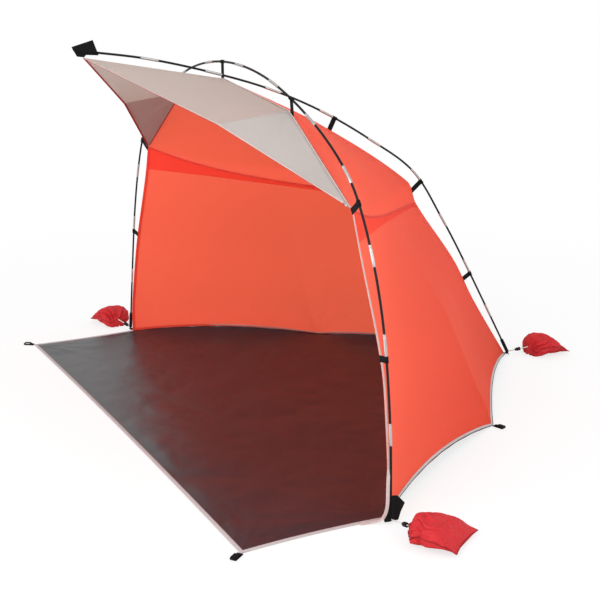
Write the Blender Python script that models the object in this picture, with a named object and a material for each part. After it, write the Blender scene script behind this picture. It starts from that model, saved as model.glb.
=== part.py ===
"""Beach tent: a hoop pole and a ridge pole that carry a two-colour canopy with a sewn-in floor.

Metres, +Z up. The origin lies on the ground, midway between the hoop's two feet. The open
front looks along -Y, and the tent is symmetric about x = 0.
"""
import math

import bmesh
import bpy
from mathutils import Vector
from mathutils.bvhtree import BVHTree

# Overall sizes
FOOT_SPREAD = 2.30          # between the hoop's two feet
HOOP_HEIGHT = 1.293         # axis of the hoop pole at its top
HOOP_BOW = 0.015            # how far the hoop leans back between foot and top
REAR_REACH = 1.350          # from the hoop back to the ridge pole's foot
TIP_REACH = 0.524           # from the hoop forward to the ridge pole's tip
TIP_RISE = 0.046            # how far the ridge pole's tip stands above the hoop's top
TIP_HEIGHT = HOOP_HEIGHT + TIP_RISE

# Shock-corded poles
HOOP_SECTIONS = 15
RIDGE_SECTIONS = 10
TUBE_DIAMETER = 0.0079
TUBE_BORE = 0.0044
FERRULE_DIAMETER = 0.0096
FERRULE_LENGTH = 0.066
SOCKET_PLAY = 0.00035       # between a tube and the ferrule it plugs into, all round
SEAT_GAP = 0.0004           # between two tube ends that meet inside a ferrule
SHOCK_CORD_DIAMETER = 0.0028
POLE_END_LIFT = 0.007       # a foot's end stands this far above the ground, in its pocket
TIP_PLUG_LENGTH = 0.012     # solid plug that closes each outer end
TIP_NOSE_LENGTH = 0.003
TIP_NOSE_DIAMETER = 0.0050
POLE_SIDES = 8
CORD_SIDES = 6

# Cloth
CLOTH = 0.0014              # thickness of a sewn and coated panel
SEAM_GAP = 0.0005           # between panels along a seam
FLOOR_CLOTH = 0.0012
HEM_SEAT = 0.0004           # between the wall's lower edge and the floor it is sewn to
HEM_RISE = 0.038            # how far the lower hem lifts between two pegs
HEM_DRAW = 0.026            # how far the same hem is drawn in
PORCH_DRAW = 0.010          # the same for the porch's edges
FLOOR_EDGE_WIDTH = 0.110    # strip of floor that climbs to the lifted hem
FLOOR_LIP = 0.003           # the floor's bound edge outside the wall

# The canopy hangs this far inside the poles
APEX_DROP = 0.060           # from the hoop's top down to the border between visor and roof
VISOR_TIP_DROP = 0.023      # from the ridge pole's tip down to the visor's point
VISOR_TIP_SET_BACK = 0.009
HEM_FOOT_INSET = 0.032      # from a hoop foot in to the wall's front hem
REAR_HEM_INSET = 0.020      # from the ridge pole's foot in to the rear hem
PORCH_REACH = 0.472
BORDER_SET_BACK = 0.018
SEAM_SAG = 0.034            # the seam dips below a straight line, nearer the corner
WALL_FULLNESS = 0.006       # how far wind and cut belly each panel outwards
BORDER_TOP_HEIGHT = HOOP_HEIGHT - APEX_DROP
VISOR_TIP_REACH = TIP_REACH - VISOR_TIP_SET_BACK
VISOR_TIP_HEIGHT = TIP_HEIGHT - VISOR_TIP_DROP
HEM_FOOT_HALF_WIDTH = FOOT_SPREAD / 2.0 - HEM_FOOT_INSET
REAR_HEM_REACH = REAR_REACH - REAR_HEM_INSET

# The canopy's corners: shares of half the foot spread and of the border's top height
SHOULDER_SHARES = (0.4113, 0.9359)
CORNER_SHARES = (0.7557, 0.7283)
VISOR_EDGE_SHARES = (0.3861, 0.9100)
VISOR_EDGE_REACH_SHARE = 0.441      # of the visor tip's reach
# The porch's corner and the side peg: shares of half the foot spread and of the rear reach
PORCH_WIDTH_SHARE = 0.9678
SIDE_PEG_SHARES = (0.5739, 0.5662)

# The heart of the tent, from which every panel gets its thickness, so that panels that
# share a seam are cut square to the same line
HEART_REACH_SHARE = 0.30
HEART_HEIGHT_SHARE = 0.15

# Quads across each cloth panel, and numbers that shape the cloth
VISOR_COLUMNS = 6
VISOR_ROWS = 8
ROOF_COLUMNS = 8
ROOF_ROWS = 8
WALL_COLUMNS = 14
WALL_ROWS = 10
FLOOR_EDGE_STEPS = WALL_COLUMNS // 2
FLOOR_SLOPE_SHARE = 0.30    # of the hem's lift, halfway across the strip that climbs to it
SHARPEST_MITRE_SHARE = 0.5
SAG_SCALE = 27.0 / 4.0      # makes t squared times (1 - t) peak at one

# Webbing straps that hold the canopy to the poles
STRAP_WIDTH = 0.016
STRAP_THICKNESS = 0.0028    # two layers sewn together
LOOP_WALL = 0.0016          # one layer round the pole
LOOP_PLAY = 0.0004
STRAP_SEAT = 0.0005         # between a strap's sewn end and the cloth
LOOP_POINTS = 12

# Where the straps sit: on the hoop, shares of the way from its top to a foot, and on the
# cloth, shares of the edge that each is sewn to
SHOULDER_STRAP_SHARE = 0.263
CORNER_STRAP_SHARE = 0.516
SHOULDER_TARGET_SHARE = 0.49
CORNER_TARGET_SHARE = 0.985
SIDE_TARGET_SHARE = 0.50
ROOF_TARGET_SHARE = 0.26
REAR_TARGET_SHARE = 0.54

# Pockets for the pole ends
SLEEVE_DIAMETER = 0.0146
SLEEVE_PLAY = 0.0007        # between a pole's end and its pocket, all round
POCKET_SIDES = 12
FIN_THICKNESS = 0.0030
FOOT_POCKET_HEIGHT = 0.085
FOOT_POCKET_WIDTH = 0.054
TIP_POCKET_LENGTH = 0.095
TIP_POCKET_HEIGHT = 0.060
TIP_POCKET_SEAT = 0.0006
TIP_POCKET_AHEAD_SHARE = 0.32       # of the tip pocket's length, ahead of the pole's tip
TIP_MOUTH_SHARE = 0.96              # of the same length, back to the sleeve's mouth
POCKET_BASE = 0.0024        # closed bottom below the pole's end
EDGE_ON_TURN = (-0.85, 0.45, 0.0)   # way that the fins of the left and rear pockets point
FACE_ON_TURN = (0.0, 1.0, 0.0)      # the same for the right pocket
TAB_WIDTH = 0.018
TAB_THICKNESS = 0.0024
TAB_SEAT = 0.0006

# Peg loops
PEG_LOOP_LENGTH = 0.046
PEG_LOOP_WIDTH = 0.018
PEG_LOOP_HEIGHT = 0.0100
PEG_LOOP_WALL = 0.0018
SEWN_LENGTH = 0.009         # where the two layers are sewn flat
SEWN_SHARE = 0.45           # height left there
RISE_LENGTH = 0.010         # from the sewn end to where the eye is fully open
PEG_LOOP_LIFT = 0.0006      # above the ground
PEG_LOOP_SEAT = 0.0005      # between a loop's sewn end and the floor's edge
PEG_LOOP_BEND_STEPS = 6
PORCH_LOOP_BEARING = -54.0  # degrees from +X on the right-hand side
SIDE_LOOP_BEARING = 16.0

# Sandbags
BAG_LENGTH = 0.170
BAG_WIDTH = 0.165
BAG_HEIGHT = 0.084
BAG_NECK_DIAMETER = 0.016
BAG_NECK_HEIGHT = 0.040
BAG_EDGE_THICKNESS = 0.006
BAG_EDGE_HOLLOW = 0.016     # how far the sewn edge curves in between its corners
BAG_LIFT = 0.0006
BAG_EDGE_LIFT = 0.008       # how far the sewn edge stands off the ground
BAG_SIDES = 18
BAG_SIDE_POWER = 0.85       # below one, a section's sides are fuller than an ellipse's
BAG_BASE_POWER = 0.80
BAG_EDGE_POWER = 6          # how late the sewn edge's hollow sets in
BAG_NECK_FALL = 1.9         # how fast the bag drops from its neck to the ground
TETHER_DIAMETER = 0.0042
TETHER_SEAT = 0.0004
TETHER_START_HEIGHT = 0.012
TETHER_STEPS = 3
LOCK_LENGTH = 0.024
LOCK_DIAMETER = 0.0150
LOCK_WAIST_DIAMETER = 0.0125
LOCK_PLAY = 0.0004
LOCK_SIDES = 12

# Each sandbag: the bearing and the reach of its neck from the pole's foot, how far the bag is
# turned off that bearing, how far its sewn edge slants, and where on the tether its lock sits
BAG_RIGHT = {"bearing": -4.0, "turn": 51.0, "skew": -14.0, "reach": 0.106, "lock_share": 0.92}
BAG_LEFT = {"bearing": 215.0, "turn": -35.0, "skew": 0.0, "reach": 0.072, "lock_share": 0.12}
BAG_REAR = {"bearing": 48.0, "turn": 47.0, "skew": 0.0, "reach": 0.088, "lock_share": 0.45}

# Half of the hoop from its foot to its top: shares of the half spread and of the height
HOOP_SHARES = (
    (1.000, 0.000),
    (0.974, 0.224),
    (0.922, 0.464),
    (0.842, 0.650),
    (0.748, 0.770),
    (0.559, 0.880),
    (0.287, 0.970),
    (0.000, 1.000),
)
# The ridge pole from its foot to its tip: shares of the reach and of the tip's height
RIDGE_SHARES = (
    (1.000, 0.000),
    (0.808, 0.332),
    (0.715, 0.482),
    (0.607, 0.632),
    (0.452, 0.737),
    (0.292, 0.8245),
    (0.127, 0.892),
    (-0.107, 0.940),
    (-0.559, 0.978),
    (-1.000, 1.000),
)
# The canopy's own ridge behind the hoop: shares of the way back to the rear hem and of the
# height of the border's top
CANOPY_RIDGE_SHARES = (
    (0.000, 1.000),
    (0.298, 0.8516),
    (0.595, 0.6553),
    (0.629, 0.5791),
    (0.777, 0.3731),
    (0.861, 0.2206),
    (1.000, 0.0000),
)
SEAM_END_INDEX = 3          # the point of that ridge where the roof panel ends
# The wall's front hem from the visor's corner to the ground: shares of the way out to the
# hem's foot and of the corner's height
FRONT_HEM_SHARES = (
    (0.000, 1.000),
    (0.193, 0.856),
    (0.727, 0.516),
    (0.864, 0.332),
    (0.970, 0.120),
    (1.000, 0.000),
)

# Outline of a foot pocket: shares of its half width, and of its height, round the pole
FOOT_FIN_SHARES = (
    (-0.75, 0.02),
    (0.55, 0.02),
    (0.90, 0.42),
    (0.70, 0.62),
    (1.00, 0.86),
    (0.40, 0.96),
    (-0.40, 0.96),
    (-0.55, 0.60),
    (-1.00, 0.20),
)
# The same for the right foot's pocket, which is seen face on and reaches out behind the pole
FACE_FIN_SHARES = (
    (-0.75, 0.02),
    (1.00, 0.02),
    (1.32, 0.31),
    (1.85, 0.60),
    (0.83, 0.93),
    (-0.40, 0.96),
    (-0.55, 0.60),
    (-1.00, 0.20),
)
# Outline of the tip pocket: shares of its length from the front, and of its height
TIP_FIN_SHARES = (
    (0.22, 0.00),
    (0.48, 0.00),
    (0.54, 0.14),
    (1.00, 0.19),
    (0.75, 1.00),
    (0.00, 0.49),
)
# A sandbag from its gathered neck to its sewn edge: shares of length, width and height
BAG_SHARES = (
    (0.00, 0.00, 0.00),
    (0.04, 0.34, 0.42),
    (0.12, 0.62, 0.72),
    (0.26, 0.84, 0.94),
    (0.42, 0.93, 1.00),
    (0.60, 0.96, 0.88),
    (0.78, 0.97, 0.60),
    (0.91, 0.985, 0.28),
    (1.00, 1.00, 0.00),
)
# A cord lock's barrel along its length: full or waisted
LOCK_WIDE_SHARES = (0.12, 0.45)

COLOURS = {
    "coral_cloth": ((0.95, 0.11, 0.066), 0.62, 0.0),
    "grey_cloth": ((0.51, 0.46, 0.43), 0.60, 0.0),
    "floor_cloth": ((0.070, 0.062, 0.066), 0.65, 0.0),
    "bag_cloth": ((0.72, 0.026, 0.032), 0.60, 0.0),
    "webbing": ((0.010, 0.010, 0.011), 0.80, 0.0),
    "pole": ((0.009, 0.009, 0.010), 0.38, 0.0),
    "tether": ((0.70, 0.69, 0.67), 0.70, 0.0),
    "lock": ((0.012, 0.012, 0.013), 0.45, 0.0),
}


def clear_scene():
    for item in list(bpy.data.objects):
        bpy.data.objects.remove(item, do_unlink=True)


def finish_for(name, kind):
    colour, roughness, metallic = COLOURS[kind]
    material = bpy.data.materials.new(name + "_finish")
    material.use_nodes = True
    shader = material.node_tree.nodes["Principled BSDF"]
    shader.inputs["Base Color"].default_value = (*colour, 1.0)
    shader.inputs["Roughness"].default_value = roughness
    shader.inputs["Metallic"].default_value = metallic
    return material


def add_object(name, mesh, kind):
    item = bpy.data.objects.new(name, mesh)
    bpy.context.scene.collection.objects.link(item)
    mesh.materials.clear()
    mesh.materials.append(finish_for(name, kind))
    mesh.shade_smooth()
    mesh.set_sharp_from_angle(angle=math.radians(40.0))
    return item


def mesh_from(verts, faces, name):
    """A closed mesh with merged doubles and outward faces."""
    bm = bmesh.new()
    placed = [bm.verts.new(v) for v in verts]
    for face in faces:
        corners = [placed[i] for i in face]
        bm.faces.new(corners)
    bmesh.ops.remove_doubles(bm, verts=bm.verts, dist=CLOTH / 1000.0)
    bmesh.ops.recalc_face_normals(bm, faces=bm.faces)
    mesh = bpy.data.meshes.new(name)
    bm.to_mesh(mesh)
    bm.free()
    return mesh


def loft(rings, name, cyclic=False):
    """Skin through rings of equal count; the ends are capped unless the rings close up."""
    count = len(rings[0])
    verts = [v for ring in rings for v in ring]
    faces = []
    spans = len(rings) if cyclic else len(rings) - 1
    for i in range(spans):
        a = i * count
        b = ((i + 1) % len(rings)) * count
        for j in range(count):
            k = (j + 1) % count
            faces.append((a + j, a + k, b + k, b + j))
    if not cyclic:
        faces.append(tuple(range(count)))
        faces.append(tuple(range(len(verts) - count, len(verts))))
    return mesh_from(verts, faces, name)


def lerp(a, b, t):
    return a + (b - a) * t


class Route:
    """A smooth curve through points, measured by its own length."""

    STEPS = 24

    def __init__(self, points):
        self.points = self.fine(points)
        self.lengths = [0.0]
        for a, b in zip(self.points, self.points[1:]):
            self.lengths.append(self.lengths[-1] + (b - a).length)
        self.length = self.lengths[-1]

    def fine(self, points):
        ends = [points[0] * 2.0 - points[1]] + list(points) + [points[-1] * 2.0 - points[-2]]
        fine = []
        for i in range(1, len(ends) - 2):
            p0, p1, p2, p3 = ends[i - 1:i + 3]
            slope_in = (p2 - p0) / ((p2 - p1).length + (p1 - p0).length) * (p2 - p1).length
            slope_out = (p3 - p1) / ((p3 - p2).length + (p2 - p1).length) * (p2 - p1).length
            for k in range(self.STEPS):
                t = k / self.STEPS
                fine.append(p1 * (2 * t ** 3 - 3 * t ** 2 + 1) + slope_in * (t ** 3 - 2 * t ** 2 + t)
                            + p2 * (3 * t ** 2 - 2 * t ** 3) + slope_out * (t ** 3 - t ** 2))
        fine.append(points[-1].copy())
        return fine

    def at(self, distance):
        distance = min(max(distance, 0.0), self.length)
        low = 0
        high = len(self.lengths) - 1
        while high - low > 1:
            middle = (low + high) // 2
            if self.lengths[middle] <= distance:
                low = middle
            else:
                high = middle
        t = (distance - self.lengths[low]) / (self.lengths[high] - self.lengths[low])
        return lerp(self.points[low], self.points[high], t)

    def share(self, t):
        return self.at(t * self.length)

    def tangent(self, distance):
        reach = self.length / (len(self.points) * 2)
        return (self.at(distance + reach) - self.at(distance - reach)).normalized()


def hoop_route():
    """The hoop pole's axis, left foot to right foot."""
    half = []
    for x_share, z_share in HOOP_SHARES:
        lean = HOOP_BOW * 4.0 * z_share * (1.0 - z_share)
        half.append(Vector((x_share * FOOT_SPREAD / 2.0, lean, z_share * HOOP_HEIGHT)))
    left = [Vector((-p.x, p.y, p.z)) for p in half]
    return Route(left + half[-2::-1])


def ridge_route():
    """The ridge pole's axis, rear foot to front tip."""
    points = []
    for y_share, z_share in RIDGE_SHARES:
        reach = REAR_REACH if y_share > 0.0 else TIP_REACH
        points.append(Vector((0.0, y_share * reach, z_share * TIP_HEIGHT)))
    return Route(points)


def ring_at(route, distance, radius, side_axis, sides):
    centre = route.at(distance)
    along = route.tangent(distance)
    across = (side_axis - along * side_axis.dot(along)).normalized()
    up = along.cross(across)
    ring = []
    for i in range(sides):
        angle = 2.0 * math.pi * (i + 0.5) / sides
        ring.append(centre + (across * math.cos(angle) + up * math.sin(angle)) * radius)
    return ring


def joint_places(start, end, count):
    """Distances along a pole at which two of its sections meet, with the pole's two ends."""
    return [lerp(start, end, i / count) for i in range(count + 1)]


def tube_stations(places, index):
    """Where a section's tube gets its rings: its ends, the mouths of its ferrules, the middle."""
    half = FERRULE_LENGTH / 2.0
    first = places[index]
    last = places[index + 1]
    stations = [first if index == 0 else first + SEAT_GAP]
    if index > 0:
        stations.append(first + half)
    low = stations[-1]
    high = last if index == len(places) - 2 else last - half
    stations += [lerp(low, high, 1 / 3), lerp(low, high, 2 / 3), high]
    return stations


def pole_section(route, places, index, side_axis, name):
    """One bent tube, with the ferrule that is glued to its far end."""
    tube = TUBE_DIAMETER / 2.0
    bore = TUBE_BORE / 2.0
    ferrule = FERRULE_DIAMETER / 2.0
    socket = tube + SOCKET_PLAY
    half = FERRULE_LENGTH / 2.0
    nose = TIP_NOSE_DIAMETER / 2.0
    is_first = index == 0
    is_last = index == len(places) - 2
    stations = tube_stations(places, index)
    seat = places[index + 1]
    if is_first:
        outer = [(stations[0], nose), (stations[0] + TIP_NOSE_LENGTH, tube)]
        outer += [(s, tube) for s in stations[1:]]
        inner = [(s, bore) for s in reversed(stations[1:])]
        inner.append((stations[0] + TIP_PLUG_LENGTH, bore))
    else:
        outer = [(s, tube) for s in stations]
        inner = [(s, bore) for s in reversed(stations)]
    if is_last:
        end = stations[-1]
        outer = outer[:-1] + [(end - TIP_NOSE_LENGTH, tube), (end, nose)]
        inner = [(end - TIP_PLUG_LENGTH, bore)] + inner[1:]
        profile = inner + outer
    else:
        sleeve = [(stations[-1], ferrule), (seat, ferrule), (seat + half, ferrule)]
        sleeve += [(seat + half, socket), (seat, socket), (seat, bore)]
        profile = outer + sleeve + inner
    rings = [ring_at(route, s, r, side_axis, POLE_SIDES) for s, r in profile]
    mesh = loft(rings, name, cyclic=not is_first and not is_last)
    return add_object(name, mesh, "pole")


def shock_cord(route, places, side_axis, name):
    """The elastic cord inside a whole pole, on the same stations as the tubes."""
    distances = []
    for index in range(len(places) - 1):
        distances += tube_stations(places, index)
    clearance = TIP_PLUG_LENGTH + SEAT_GAP
    distances = [d for d in distances if places[0] + clearance < d < places[-1] - clearance]
    distances = [places[0] + clearance] + distances + [places[-1] - clearance]
    radius = SHOCK_CORD_DIAMETER / 2.0
    rings = [ring_at(route, d, radius, side_axis, CORD_SIDES) for d in distances]
    return add_object(name, loft(rings, name), "tether")


def outward(point):
    heart = Vector((0.0, HEART_REACH_SHARE * REAR_REACH, HEART_HEIGHT_SHARE * HOOP_HEIGHT))
    return (point - heart).normalized()


def side_point(side, half_width, reach, height):
    return Vector((side * half_width, reach, height))


def canopy_ridge():
    low = FLOOR_CLOTH + HEM_SEAT
    points = []
    for y_share, z_share in CANOPY_RIDGE_SHARES:
        height = lerp(low, BORDER_TOP_HEIGHT, z_share)
        points.append(Vector((0.0, y_share * REAR_HEM_REACH, height)))
    return Route(points)


def canopy_corner(side, shares, reach):
    """A corner of the canopy, by its shares of the tent's half width and height."""
    width_share, height_share = shares
    half_width = width_share * FOOT_SPREAD / 2.0
    return side_point(side, half_width, reach, height_share * BORDER_TOP_HEIGHT)


def side_peg(side, lip):
    width_share, reach_share = SIDE_PEG_SHARES
    half_width = width_share * FOOT_SPREAD / 2.0
    return side_point(side, half_width + lip, reach_share * REAR_HEM_REACH + lip, 0.0)


def porch_corner(side):
    return side_point(side, PORCH_WIDTH_SHARE * FOOT_SPREAD / 2.0, -PORCH_REACH, 0.0)


def split_route(route, distance, count, behind):
    """Even points on one side of a distance along a route."""
    low, high = (distance, route.length) if behind else (0.0, distance)
    return [route.at(lerp(low, high, i / count)) for i in range(count + 1)]


def seam_distance(ridge):
    """How far along the canopy's ridge the roof panel ends."""
    return ridge.lengths[SEAM_END_INDEX * Route.STEPS]


def border_point(side, t):
    """Edge between visor and roof: top, shoulder, corner. t runs 0 to 1."""
    top = Vector((0.0, 0.0, BORDER_TOP_HEIGHT))
    shoulder = canopy_corner(side, SHOULDER_SHARES, BORDER_SET_BACK)
    corner = canopy_corner(side, CORNER_SHARES, BORDER_SET_BACK)
    if t <= 0.5:
        return lerp(top, shoulder, t * 2.0)
    return lerp(shoulder, corner, t * 2.0 - 1.0)


def seam_point(side, t, ridge, distance):
    """Edge between roof and wall, from the canopy's ridge (t = 0) to the corner (t = 1)."""
    end = ridge.at(distance)
    corner = canopy_corner(side, CORNER_SHARES, BORDER_SET_BACK)
    sag = SEAM_SAG * SAG_SCALE * t ** 2 * (1.0 - t)
    return lerp(end, corner, t) - Vector((0.0, 0.0, sag))


def front_hem(side):
    """The wall's front edge, from the visor's corner down to the ground."""
    top = canopy_corner(side, CORNER_SHARES, BORDER_SET_BACK)
    low = FLOOR_CLOTH + HEM_SEAT
    points = []
    for x_share, z_share in FRONT_HEM_SHARES:
        x = lerp(side * top.x, HEM_FOOT_HALF_WIDTH, x_share)
        y = top.y * (1.0 + 0.5 * x_share - 1.5 * x_share ** 4)
        points.append(side_point(side, x, y, lerp(low, top.z, z_share)))
    return Route(points)


def drawn(a, b, t, draw, rise):
    """A point between two pegs on a hem that is drawn in towards the tent and lifted."""
    arch = 4.0 * t * (1.0 - t)
    point = lerp(a, b, t)
    across = Vector((a.y - b.y, b.x - a.x, 0.0)).normalized()
    middle = Vector((0.0, HEART_REACH_SHARE * REAR_REACH, 0.0))
    if across.dot(middle - (a + b) / 2.0) < 0.0:
        across = -across
    return point + across * (draw * arch) + Vector((0.0, 0.0, rise * arch))


def lower_hem(side, t, lip=0.0):
    """The wall's lower hem on the ground plan: foot, side peg, rear. t runs 0 to 1."""
    foot = side_point(side, HEM_FOOT_HALF_WIDTH + lip, 0.0, 0.0)
    foot.y = front_hem(side).points[-1].y
    peg = side_peg(side, lip)
    rear = Vector((0.0, REAR_HEM_REACH + lip, 0.0))
    if t <= 0.5:
        return drawn(foot, peg, t * 2.0, HEM_DRAW, HEM_RISE)
    return drawn(peg, rear, t * 2.0 - 1.0, HEM_DRAW, HEM_RISE)


def belly(u, v):
    return WALL_FULLNESS * math.sin(math.pi * u) * math.sin(math.pi * v)


def coons(low, high, left, right, columns, rows):
    """Grid of points over four edges given as functions of 0 to 1."""
    grid = []
    for j in range(rows + 1):
        v = j / rows
        row = []
        for i in range(columns + 1):
            u = i / columns
            point = lerp(low(u), high(u), v) + lerp(left(v), right(v), u)
            point -= lerp(lerp(low(0.0), low(1.0), u), lerp(high(0.0), high(1.0), u), v)
            row.append(point + outward(point) * belly(u, v))
        grid.append(row)
    return grid


def pull_back(grid, towards, amount):
    """Move a grid's edges along the cloth, away from the neighbouring panel."""
    for edge_points, inner_points in towards:
        for (j, i), (q, p) in zip(edge_points, inner_points):
            step = grid[q][p] - grid[j][i]
            if step.length > amount:
                grid[j][i] = grid[j][i] + step.normalized() * amount


def edge_pairs(rows, columns, side):
    """Indices of one edge of a grid and of the row or column next to it."""
    if side == "low":
        return [(0, i) for i in range(columns + 1)], [(1, i) for i in range(columns + 1)]
    if side == "high":
        return [(rows, i) for i in range(columns + 1)], [(rows - 1, i) for i in range(columns + 1)]
    if side == "left":
        return [(j, 0) for j in range(rows + 1)], [(j, 1) for j in range(rows + 1)]
    return [(j, columns) for j in range(rows + 1)], [(j, columns - 1) for j in range(rows + 1)]


def cloth_panel(grid, name, kind, thickness=CLOTH):
    """A closed sheet round a grid of points, thickened away from the tent's heart."""
    rows = len(grid)
    columns = len(grid[0])
    outer = [p + outward(p) * (thickness / 2.0) for row in grid for p in row]
    inner = [p - outward(p) * (thickness / 2.0) for row in grid for p in row]
    count = rows * columns
    faces = []
    for j in range(rows - 1):
        for i in range(columns - 1):
            a = j * columns + i
            quad = (a, a + 1, a + 1 + columns, a + columns)
            faces.append(quad)
            faces.append(tuple(count + k for k in reversed(quad)))
    rim = [i for i in range(columns)]
    rim += [j * columns + columns - 1 for j in range(1, rows)]
    rim += [(rows - 1) * columns + i for i in range(columns - 2, -1, -1)]
    rim += [j * columns for j in range(rows - 2, 0, -1)]
    for k, a in enumerate(rim):
        b = rim[(k + 1) % len(rim)]
        faces.append((b, a, a + count, b + count))
    return cloth_mesh(outer + inner, faces, name, kind)


def cloth_mesh(verts, faces, name, kind):
    bm = bmesh.new()
    placed = [bm.verts.new(v) for v in verts]
    for face in faces:
        bm.faces.new([placed[i] for i in face])
    bmesh.ops.remove_doubles(bm, verts=bm.verts, dist=CLOTH / 100.0)
    bmesh.ops.triangulate(bm, faces=bm.faces)
    bmesh.ops.dissolve_degenerate(bm, edges=bm.edges, dist=CLOTH / 100.0)
    bmesh.ops.recalc_face_normals(bm, faces=bm.faces)
    mesh = bpy.data.meshes.new(name)
    bm.to_mesh(mesh)
    bm.free()
    return add_object(name, mesh, kind)


def visor_grid(side, columns, rows):
    """Kite from the tip to the shoulder, then a triangle down to the corner."""
    tip = Vector((0.0, -VISOR_TIP_REACH, VISOR_TIP_HEIGHT))
    edge = canopy_corner(side, VISOR_EDGE_SHARES, -VISOR_EDGE_REACH_SHARE * VISOR_TIP_REACH)
    corner = canopy_corner(side, CORNER_SHARES, BORDER_SET_BACK)
    grid = []
    for j in range(rows + 1):
        v = j / rows
        front = lerp(tip, edge, v * 2.0) if v <= 0.5 else lerp(edge, corner, v * 2.0 - 1.0)
        back = border_point(side, v)
        grid.append([lerp(front, back, i / columns) for i in range(columns + 1)])
    return grid


def shift_from_middle(grid, side, amount):
    """Keep a row that lies on the middle plane clear of its mirror image."""
    for row in grid:
        for point in row:
            if side * point.x < amount:
                point.x = side * amount


def visor(side, name):
    grid = visor_grid(side, VISOR_COLUMNS, VISOR_ROWS)
    border = edge_pairs(VISOR_ROWS, VISOR_COLUMNS, "right")
    pull_back(grid, [border], SEAM_GAP)
    shift_from_middle(grid, side, SEAM_GAP)
    return cloth_panel(grid, name, "grey_cloth")


def roof(side, name, ridge, distance):
    ridge_points = split_route(ridge, distance, ROOF_COLUMNS, behind=False)
    grid = []
    for j in range(ROOF_ROWS + 1):
        w = j / ROOF_ROWS
        row = []
        for i in range(ROOF_COLUMNS + 1):
            u = i / ROOF_COLUMNS
            bow = ridge_points[i] - lerp(ridge_points[0], ridge_points[-1], u)
            point = lerp(border_point(side, w), seam_point(side, w, ridge, distance), u)
            point += bow * (1.0 - w)
            row.append(point + outward(point) * belly(u, w))
        grid.append(row)
    pull_back(grid, [edge_pairs(ROOF_ROWS, ROOF_COLUMNS, "right")], SEAM_GAP)
    shift_from_middle(grid, side, SEAM_GAP)
    return cloth_panel(grid, name, "coral_cloth")


def wall(side, name, ridge, distance):
    hem = front_hem(side)
    low_height = Vector((0.0, 0.0, FLOOR_CLOTH + HEM_SEAT + CLOTH / 2.0))
    rear = split_route(ridge, distance, WALL_ROWS, behind=True)

    def low(u):
        return lower_hem(side, u) + low_height

    def high(u):
        return seam_point(side, 1.0 - u, ridge, distance)

    def left(v):
        return lerp(hem.share(1.0 - v), low(0.0), max(0.0, 1.0 - v * WALL_ROWS))

    def right(v):
        point = rear[-1 - round(v * WALL_ROWS)]
        return lerp(point, low(1.0), max(0.0, 1.0 - v * WALL_ROWS))

    grid = coons(low, high, left, right, WALL_COLUMNS, WALL_ROWS)
    pull_back(grid, [edge_pairs(WALL_ROWS, WALL_COLUMNS, "high")], SEAM_GAP)
    shift_from_middle(grid, side, SEAM_GAP)
    return cloth_panel(grid, name, "coral_cloth")


def floor_outline():
    """The floor's bound edge, once round from the left porch corner."""
    def half(side):
        corner = porch_corner(side)
        foot = lower_hem(side, 0.0, FLOOR_LIP)
        points = []
        for i in range(FLOOR_EDGE_STEPS):
            points.append(drawn(corner, foot, i / FLOOR_EDGE_STEPS, PORCH_DRAW, 0.0))
        steps = FLOOR_EDGE_STEPS * 2
        points += [lower_hem(side, i / steps, FLOOR_LIP) for i in range(steps)]
        return points

    left = half(-1.0)
    right = half(1.0)
    rear = Vector((0.0, REAR_HEM_REACH + FLOOR_LIP, 0.0))
    front = [drawn(right[0], left[0], i / FLOOR_EDGE_STEPS, PORCH_DRAW, 0.0)
             for i in range(1, FLOOR_EDGE_STEPS)]
    return left + [rear] + list(reversed(right)) + front


def inset_outline(points, width):
    """The same outline a width further in, flat on the ground."""
    count = len(points)
    inner = []
    for i, point in enumerate(points):
        before = points[i - 1]
        after = points[(i + 1) % count]
        one = Vector((point.y - before.y, before.x - point.x, 0.0)).normalized()
        two = Vector((after.y - point.y, point.x - after.x, 0.0)).normalized()
        mitre = (one + two).normalized()
        reach = width / max(mitre.dot(one), SHARPEST_MITRE_SHARE)
        inner.append(Vector((point.x, point.y, 0.0)) + mitre * reach)
    return inner


def floor_sheet(name):
    """Flat groundsheet whose edges climb to the lifted hems."""
    edge = floor_outline()
    middle = inset_outline(edge, FLOOR_EDGE_WIDTH / 2.0)
    inner = inset_outline(edge, FLOOR_EDGE_WIDTH)
    for i, point in enumerate(middle):
        point.z = edge[i].z * FLOOR_SLOPE_SHARE
    count = len(edge)
    up = Vector((0.0, 0.0, FLOOR_CLOTH))
    rings = [edge, middle, inner]
    verts = [p for ring in rings for p in ring] + [p + up for ring in rings for p in ring]
    top = count * len(rings)
    faces = []
    for k in range(len(rings) - 1):
        for i in range(count):
            j = (i + 1) % count
            quad = (k * count + i, k * count + j, (k + 1) * count + j, (k + 1) * count + i)
            faces.append(quad)
            faces.append(tuple(top + q for q in reversed(quad)))
    last = (len(rings) - 1) * count
    faces.append(tuple(last + i for i in range(count)))
    faces.append(tuple(top + last + i for i in reversed(range(count))))
    for i in range(count):
        j = (i + 1) % count
        faces.append((j, i, top + i, top + j))
    return cloth_mesh(verts, faces, name, "floor_cloth")


def tree_of(items):
    """One search tree over the faces of several objects."""
    verts = []
    faces = []
    for item in items:
        base = len(verts)
        verts += [v.co.copy() for v in item.data.vertices]
        faces += [tuple(base + i for i in p.vertices) for p in item.data.polygons]
    return BVHTree.FromPolygons(verts, faces)


def reach_to_cloth(tree, origin, direction, width_axis, thick_axis):
    """Shortest way from a strap's section to the cloth, along the strap."""
    shortest = None
    for i in (-1.0, -0.5, 0.0, 0.5, 1.0):
        for k in (-1.0, -0.6, -0.2, 0.2, 0.6, 1.0):
            start = origin + width_axis * (i * STRAP_WIDTH / 2.0)
            start = start + thick_axis * (k * STRAP_THICKNESS / 2.0)
            hit = tree.ray_cast(start, direction)
            if hit[0] is not None and (shortest is None or hit[3] < shortest):
                shortest = hit[3]
    return shortest


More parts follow.
